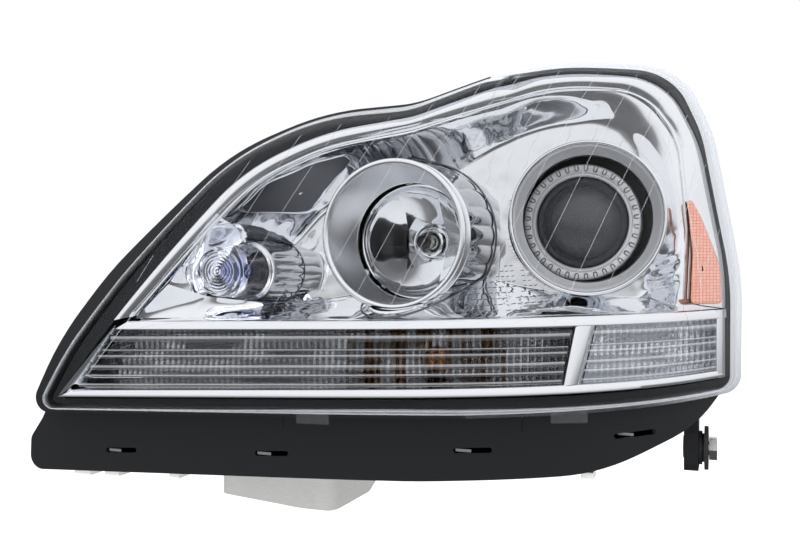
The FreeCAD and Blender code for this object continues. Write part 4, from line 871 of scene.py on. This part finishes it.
# ---- position lamp ------------------------------------------------------------------------------
def position_lamp():
    """Clear tube with rings moulded in its front, and the fluted barrel behind it."""
    profile = [(0.05, 46.2)]
    for k in range(1, 66):
        r = 0.25 * k
        profile.append((r, 46.0 - 0.55 * abs(math.sin(math.pi * r / 2.4)) ** 0.8))
    profile += [(16.9, 45.2), (18.6, 45.6), (19.7, 47.0), (20.0, 49.0), (20.3, 58), (20.8, 64)]
    profile += [(21.2, 66), (21.4, 70), (22.6, 84), (22.9, 88), (24.4, 88.6), (24.5, 92.6)]
    profile += [(22.0, 92.9), (20.9, 88), (19.0, 66), (18.2, 52), (16.5, 49.4), (0.05, 49.2)]
    tube_part = lathe(profile, POSITION, 120)
    build("position_tube_visual", [tube_part], OPTIC_BLUE, nodes=["position_lamp_tube"],
          crisp=70)

    def flutes(phi, k, depth):
        return (1.5 * np.abs(np.cos(9 * phi)) ** 0.8 - 0.8) * smooth((depth - 95) / 8)

    steps = np.linspace(0, 1, 24)
    barrel_profile = [(25.0 + 1.4 * math.sin(math.pi / 2 * t), 93.5 + 58 * t) for t in steps]
    floor_profile = [(25.0, 93.5), (23.6, 93.2), (21.5, 95.0), (19.5, 100), (15.6, 102), (14.8, 102.4)]
    barrel, floor = lathe(barrel_profile, POSITION, 320, flutes), lathe(floor_profile, POSITION, 120)
    # Dark ring at the barrel's foot: painted shadow along the joint.
    joint_shadow = floor_joint_shadow(POSITION, 27.4, 0.5)
    build("position_barrel_visual", [barrel, floor, joint_shadow], [CHROME_FLUTED_SHADED, CHROME_SATIN, CHROME_DARK],
          nodes=["position_lamp_barrel"], crisp=50)


def position_tray():
    """Bright folded facets inboard of the position lamp, each bowed a little."""
    facets = [
        ((-203, -41), (-178, -14), (-160, -24), (-168, -41), 26, 34, 60, 52),
        ((-178, -14), (-160, 12), (-150, 4), (-160, -24), 34, 40, 66, 60),
        ((-160, 12), (-137, 38), (-128, 26), (-150, 4), 40, 46, 74, 66),
        ((-168, -41), (-160, -24), (-120, -30), (-118, -41), 52, 60, 84, 70),
    ]
    parts = []
    # Each facet is four (x, z) corners and then their four depths.
    for a, b, c, d, ya, yb, yc, yd in facets:
        rows = []
        for u in np.linspace(0, 1, 14):
            row = []
            for v in np.linspace(0, 1, 14):
                x = (a[0] * (1 - u) + d[0] * u) * (1 - v) + (b[0] * (1 - u) + c[0] * u) * v
                z = (a[1] * (1 - u) + d[1] * u) * (1 - v) + (b[1] * (1 - u) + c[1] * u) * v
                y = (ya * (1 - u) + yd * u) * (1 - v) + (yb * (1 - u) + yc * u) * v
                row.append((x, y + 5 * math.sin(math.pi * u) * math.sin(math.pi * v), z))
            rows.append(row)
        parts.append(grid(rows))
    return build("position_tray_visual", parts, CHROME, nodes=["position_lamp_reflector"],
                 crisp=25)


# ---- lower lamps --------------------------------------------------------------------------------
# Bars as (share of the lamp's height, height in mm). Their section is (half heights up, mm back).
BARS = [(0.05, 3.2), (0.21, 3.0), (0.36, 4.2), (0.55, 3.2), (0.66, 2.2), (0.86, 5.0)]
BAR_SECTION = [(-1, 5.0), (-1, 1.6), (-0.9, 0.7), (-0.6, 0.15), (-0.2, 0.0), (0.2, 0.0), (0.6, 0.2),
    (0.9, 0.9), (1, 1.8), (1, 5.0)]


def lamp_window(name, optic, reflector, corners, pitch, depth, chrome):
    """Clear bars along the lamp, and behind them a chromed box with upright flutes cut into short panels."""
    left_low, left_high, right_low, right_high = [np.array(c, dtype=float) for c in corners]
    count = int((right_low[0] - left_low[0]) / 0.7)
    u = np.linspace(0, 1, count)[:, None]
    low = left_low * (1 - u) + right_low * u
    high = left_high * (1 - u) + right_high * u

    def row(share, back):
        xz = low + (high - low) * share
        return np.stack([xz[:, 0], front_y(xz[:, 0], xz[:, 1]) + back, xz[:, 1]], axis=1)

    bars = []
    for share, height in BARS:
        rows = []
        for up, back in BAR_SECTION:
            points = row(share, 15.5 + back)
            points[:, 2] += up * height / 2
            rows.append(points)
        bars.append(grid(rows))
    build(name + "_bars", bars, BAR, nodes=[optic], crisp=40)

    rows = []
    shares = np.linspace(-0.02, 1.02, 110)
    for share in shares:
        xz = low + (high - low) * share
        edge = min(1.0, max(0.0, min(share, 1 - share) / 0.12))
        dish = 26.0 + (depth - 26.0) * math.sin(edge * math.pi / 2)
        flute = np.abs(np.sin(math.pi * xz[:, 0] / pitch)) ** 0.7
        band = math.floor(share * 5.0)
        block = np.floor(xz[:, 0] / (pitch * 2.0))
        lean = np.sin(block * 12.9898 + band * 78.233) * 3.0
        within = (share * 5.0) % 1.0 - 0.5
        relief = dish - 3.2 * flute * edge + lean * within * edge
        rows.append(row(share, 0.0) + np.stack([0 * flute, relief, 0 * flute], axis=1))
    box = [grid(rows)]
    for k in (0, -1):
        rows = []
        for back in (24.0, depth):
            rows.append(np.array([row(share, back)[k] for share in np.linspace(0, 1, 8)]))
        box.append(grid(rows))
    build(name + "_bowl", box, chrome, nodes=[reflector], crisp=30)


def side_reflex():
    """Amber strip with a rounded edge."""
    angles = np.linspace(-math.pi, math.pi, 240, endpoint=False)
    middle = (219.0, -2.0)
    edge = polar(AMBER, angles, 0.0, middle)
    rim = ((0.0, 17.0), (0.0, 10.5), (0.35, 9.2), (1.2, 8.4), (2.2, 8.2))
    rings = [(edge - inset, depth) for inset, depth in rim]
    rings += [((edge - 2.2) * (1 - k / 16), 8.2) for k in range(1, 16)]
    rows = []
    for r, depth in rings:
        x, z = middle[0] + r * np.cos(angles), middle[1] + r * np.sin(angles)
        rows.append(np.stack([x, front_y(x, z) + depth, z], axis=1))
    return build("side_reflex", [grid(rows, wrap=True)], AMBER_REFLEX, nodes=["side_reflector"])


# ---- studio -------------------------------------------------------------------------------------
# The mirrored room as (height from nadir to zenith, brightness).
ROOM = ((0.0, 0.10), (0.30, 0.16), (0.43, 0.30), (0.49, 0.66), (0.54, 0.88), (0.70, 1.0), (1.0, 1.05))
FLOOR_DROP, FLOOR_REACH, FLOOR_WHITE = 0.12, 6.0, 0.92
CAMERA_EYE, CAMERA_TARGET = (239.4, -577.8, 0.0), (0.0, 80.0, 0.0)
SENSOR, FOCAL_LENGTH = 36.0, 40.905


def studio():
    """White to the camera, soft white light on matt things, and a graded room in the mirrors."""
    world = bpy.data.worlds.new("studio")
    bpy.context.scene.world = world
    world.use_nodes = True
    nodes, links = world.node_tree.nodes, world.node_tree.links
    nodes.clear()
    coord, split, ramp = add(nodes, "TexCoord"), add(nodes, "SeparateXYZ"), add(nodes, "ValToRGB")
    links.new(coord.outputs["Generated"], split.inputs[0])
    height = add(nodes, "MapRange", {"From Min": -1.0, "From Max": 1.0})
    links.new(split.outputs["Z"], height.inputs["Value"])
    links.new(height.outputs["Result"], ramp.inputs[0])
    for k, (position, value) in enumerate(ROOM):
        stop = ramp.color_ramp.elements[k] if k < 2 else ramp.color_ramp.elements.new(position)
        stop.position = position
        stop.color = (value, value * 1.005, value * 1.02, 1)

    seen, matt_light, mirrored = [
        add(nodes, "Background", {"Strength": value, "Color": (1, 1, 1, 1)}) for value in (1.0, 0.9, 1.0)
    ]
    links.new(ramp.outputs[0], mirrored.inputs["Color"])
    path, first, second = add(nodes, "LightPath"), add(nodes, "MixShader"), add(nodes, "MixShader")
    links.new(path.outputs["Is Diffuse Ray"], first.inputs[0])
    links.new(mirrored.outputs[0], first.inputs[1])
    links.new(matt_light.outputs[0], first.inputs[2])
    links.new(path.outputs["Is Camera Ray"], second.inputs[0])
    links.new(first.outputs[0], second.inputs[1])
    links.new(seen.outputs[0], second.inputs[2])
    links.new(second.outputs[0], add(nodes, "OutputWorld").inputs[0])


def softbox(name, spot, target, size, power):
    """Soft rectangular light that mirrors don't show."""
    light = bpy.data.lights.new(name, "AREA")
    light.shape = "RECTANGLE"
    light.size, light.size_y = size
    light.energy = power
    obj = bpy.data.objects.new(name, light)
    bpy.context.collection.objects.link(obj)
    obj.visible_glossy = False
    aim(obj, spot, target)
    return obj


def aim(obj, spot, target):
    """Puts a light or camera at a spot, facing a target."""
    obj.location = spot
    obj.rotation_euler = (Vector(target) - Vector(spot)).to_track_quat("-Z", "Y").to_euler()


def plane(name, corners, material):
    """Flat stage piece from its corners."""
    mesh = bpy.data.meshes.new(name)
    mesh.from_pydata([tuple(c) for c in corners], [], [tuple(range(len(corners)))])
    mesh.materials.append(material)
    obj = bpy.data.objects.new(name, mesh)
    bpy.context.collection.objects.link(obj)
    return obj


def matt(name, value):
    """Plain grey or white paper."""
    m, _, _, shader = new_material(name)
    dress(shader, {"Base Color": (value, value, value, 1), "Roughness": 0.9})
    return m


def camera():
    """View from outboard of the lamp's axis, level with it."""
    eye, target = place([CAMERA_EYE, CAMERA_TARGET])
    data = bpy.data.cameras.new("view")
    data.sensor_width = SENSOR
    data.lens = FOCAL_LENGTH
    obj = bpy.data.objects.new("view", data)
    bpy.context.collection.objects.link(obj)
    aim(obj, tuple(eye), tuple(target))
    bpy.context.scene.camera = obj


def main():
    camera()
    studio()
    low, high = CAD_BOX
    middle = [(a + b) / 2 for a, b in zip(low, high)]
    ground = low[2] - FLOOR_DROP
    far = FLOOR_REACH
    paper = [(-far, -far, ground), (far, -far, ground), (far, far, ground), (-far, far, ground)]
    floor = plane("floor", paper, matt("floor_paper", FLOOR_WHITE))
    floor.visible_glossy = False
    sun = bpy.data.lights.new("sky", "SUN")
    sun.energy, sun.angle = 0.9, 1.2
    overcast = bpy.data.objects.new("sky", sun)
    overcast.visible_glossy = False
    bpy.context.collection.objects.link(overcast)
    softbox("overhead", (middle[0], middle[1] - 0.5, 1.3), middle, (1.8, 1.0), 14)
    softbox("left", (middle[0] - 1.3, middle[1] - 0.8, 0.5), middle, (0.8, 1.2), 7)
    softbox("right", (middle[0] + 1.4, middle[1] - 0.5, 0.5), middle, (0.7, 1.2), 6)
    for node, material in CAD_LOOKS.items():
        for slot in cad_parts[node].material_slots:
            slot.material = material
    lens()
    lens_lines()
    bezel()
    mouldings()
    dashes()
    sail_panel()
    high_beam_trim()
    high_beam_bowl()
    halogen_bulb()
    projector_sleeve()
    lens_ring()
    projector_glass()
    position_lamp()
    position_tray()
    lamp_window("turn_signal", "turn_signal_optic", "turn_signal_reflector",
                [(-251, -97), (-218, -51), (127, -83), (133.5, -43.5)], 5.0, 58.0, TINTED_CHROME_AMBER_REFLECTION)
    lamp_window("corner_lamp", "corner_lamp_optic", "corner_lamp_reflector",
                [(140, -82.5), (148.5, -42), (228.5, -80), (229.5, -41.5)], 4.2, 50.0, CORNER_CHROME)
    side_reflex()
    scene = bpy.context.scene
    scene.view_settings.view_transform = "Standard"
    scene.cycles.transparent_max_bounces = 24
    scene.cycles.max_bounces = 16
    scene.cycles.transmission_bounces = 14
    scene.cycles.glossy_bounces = 8


main()
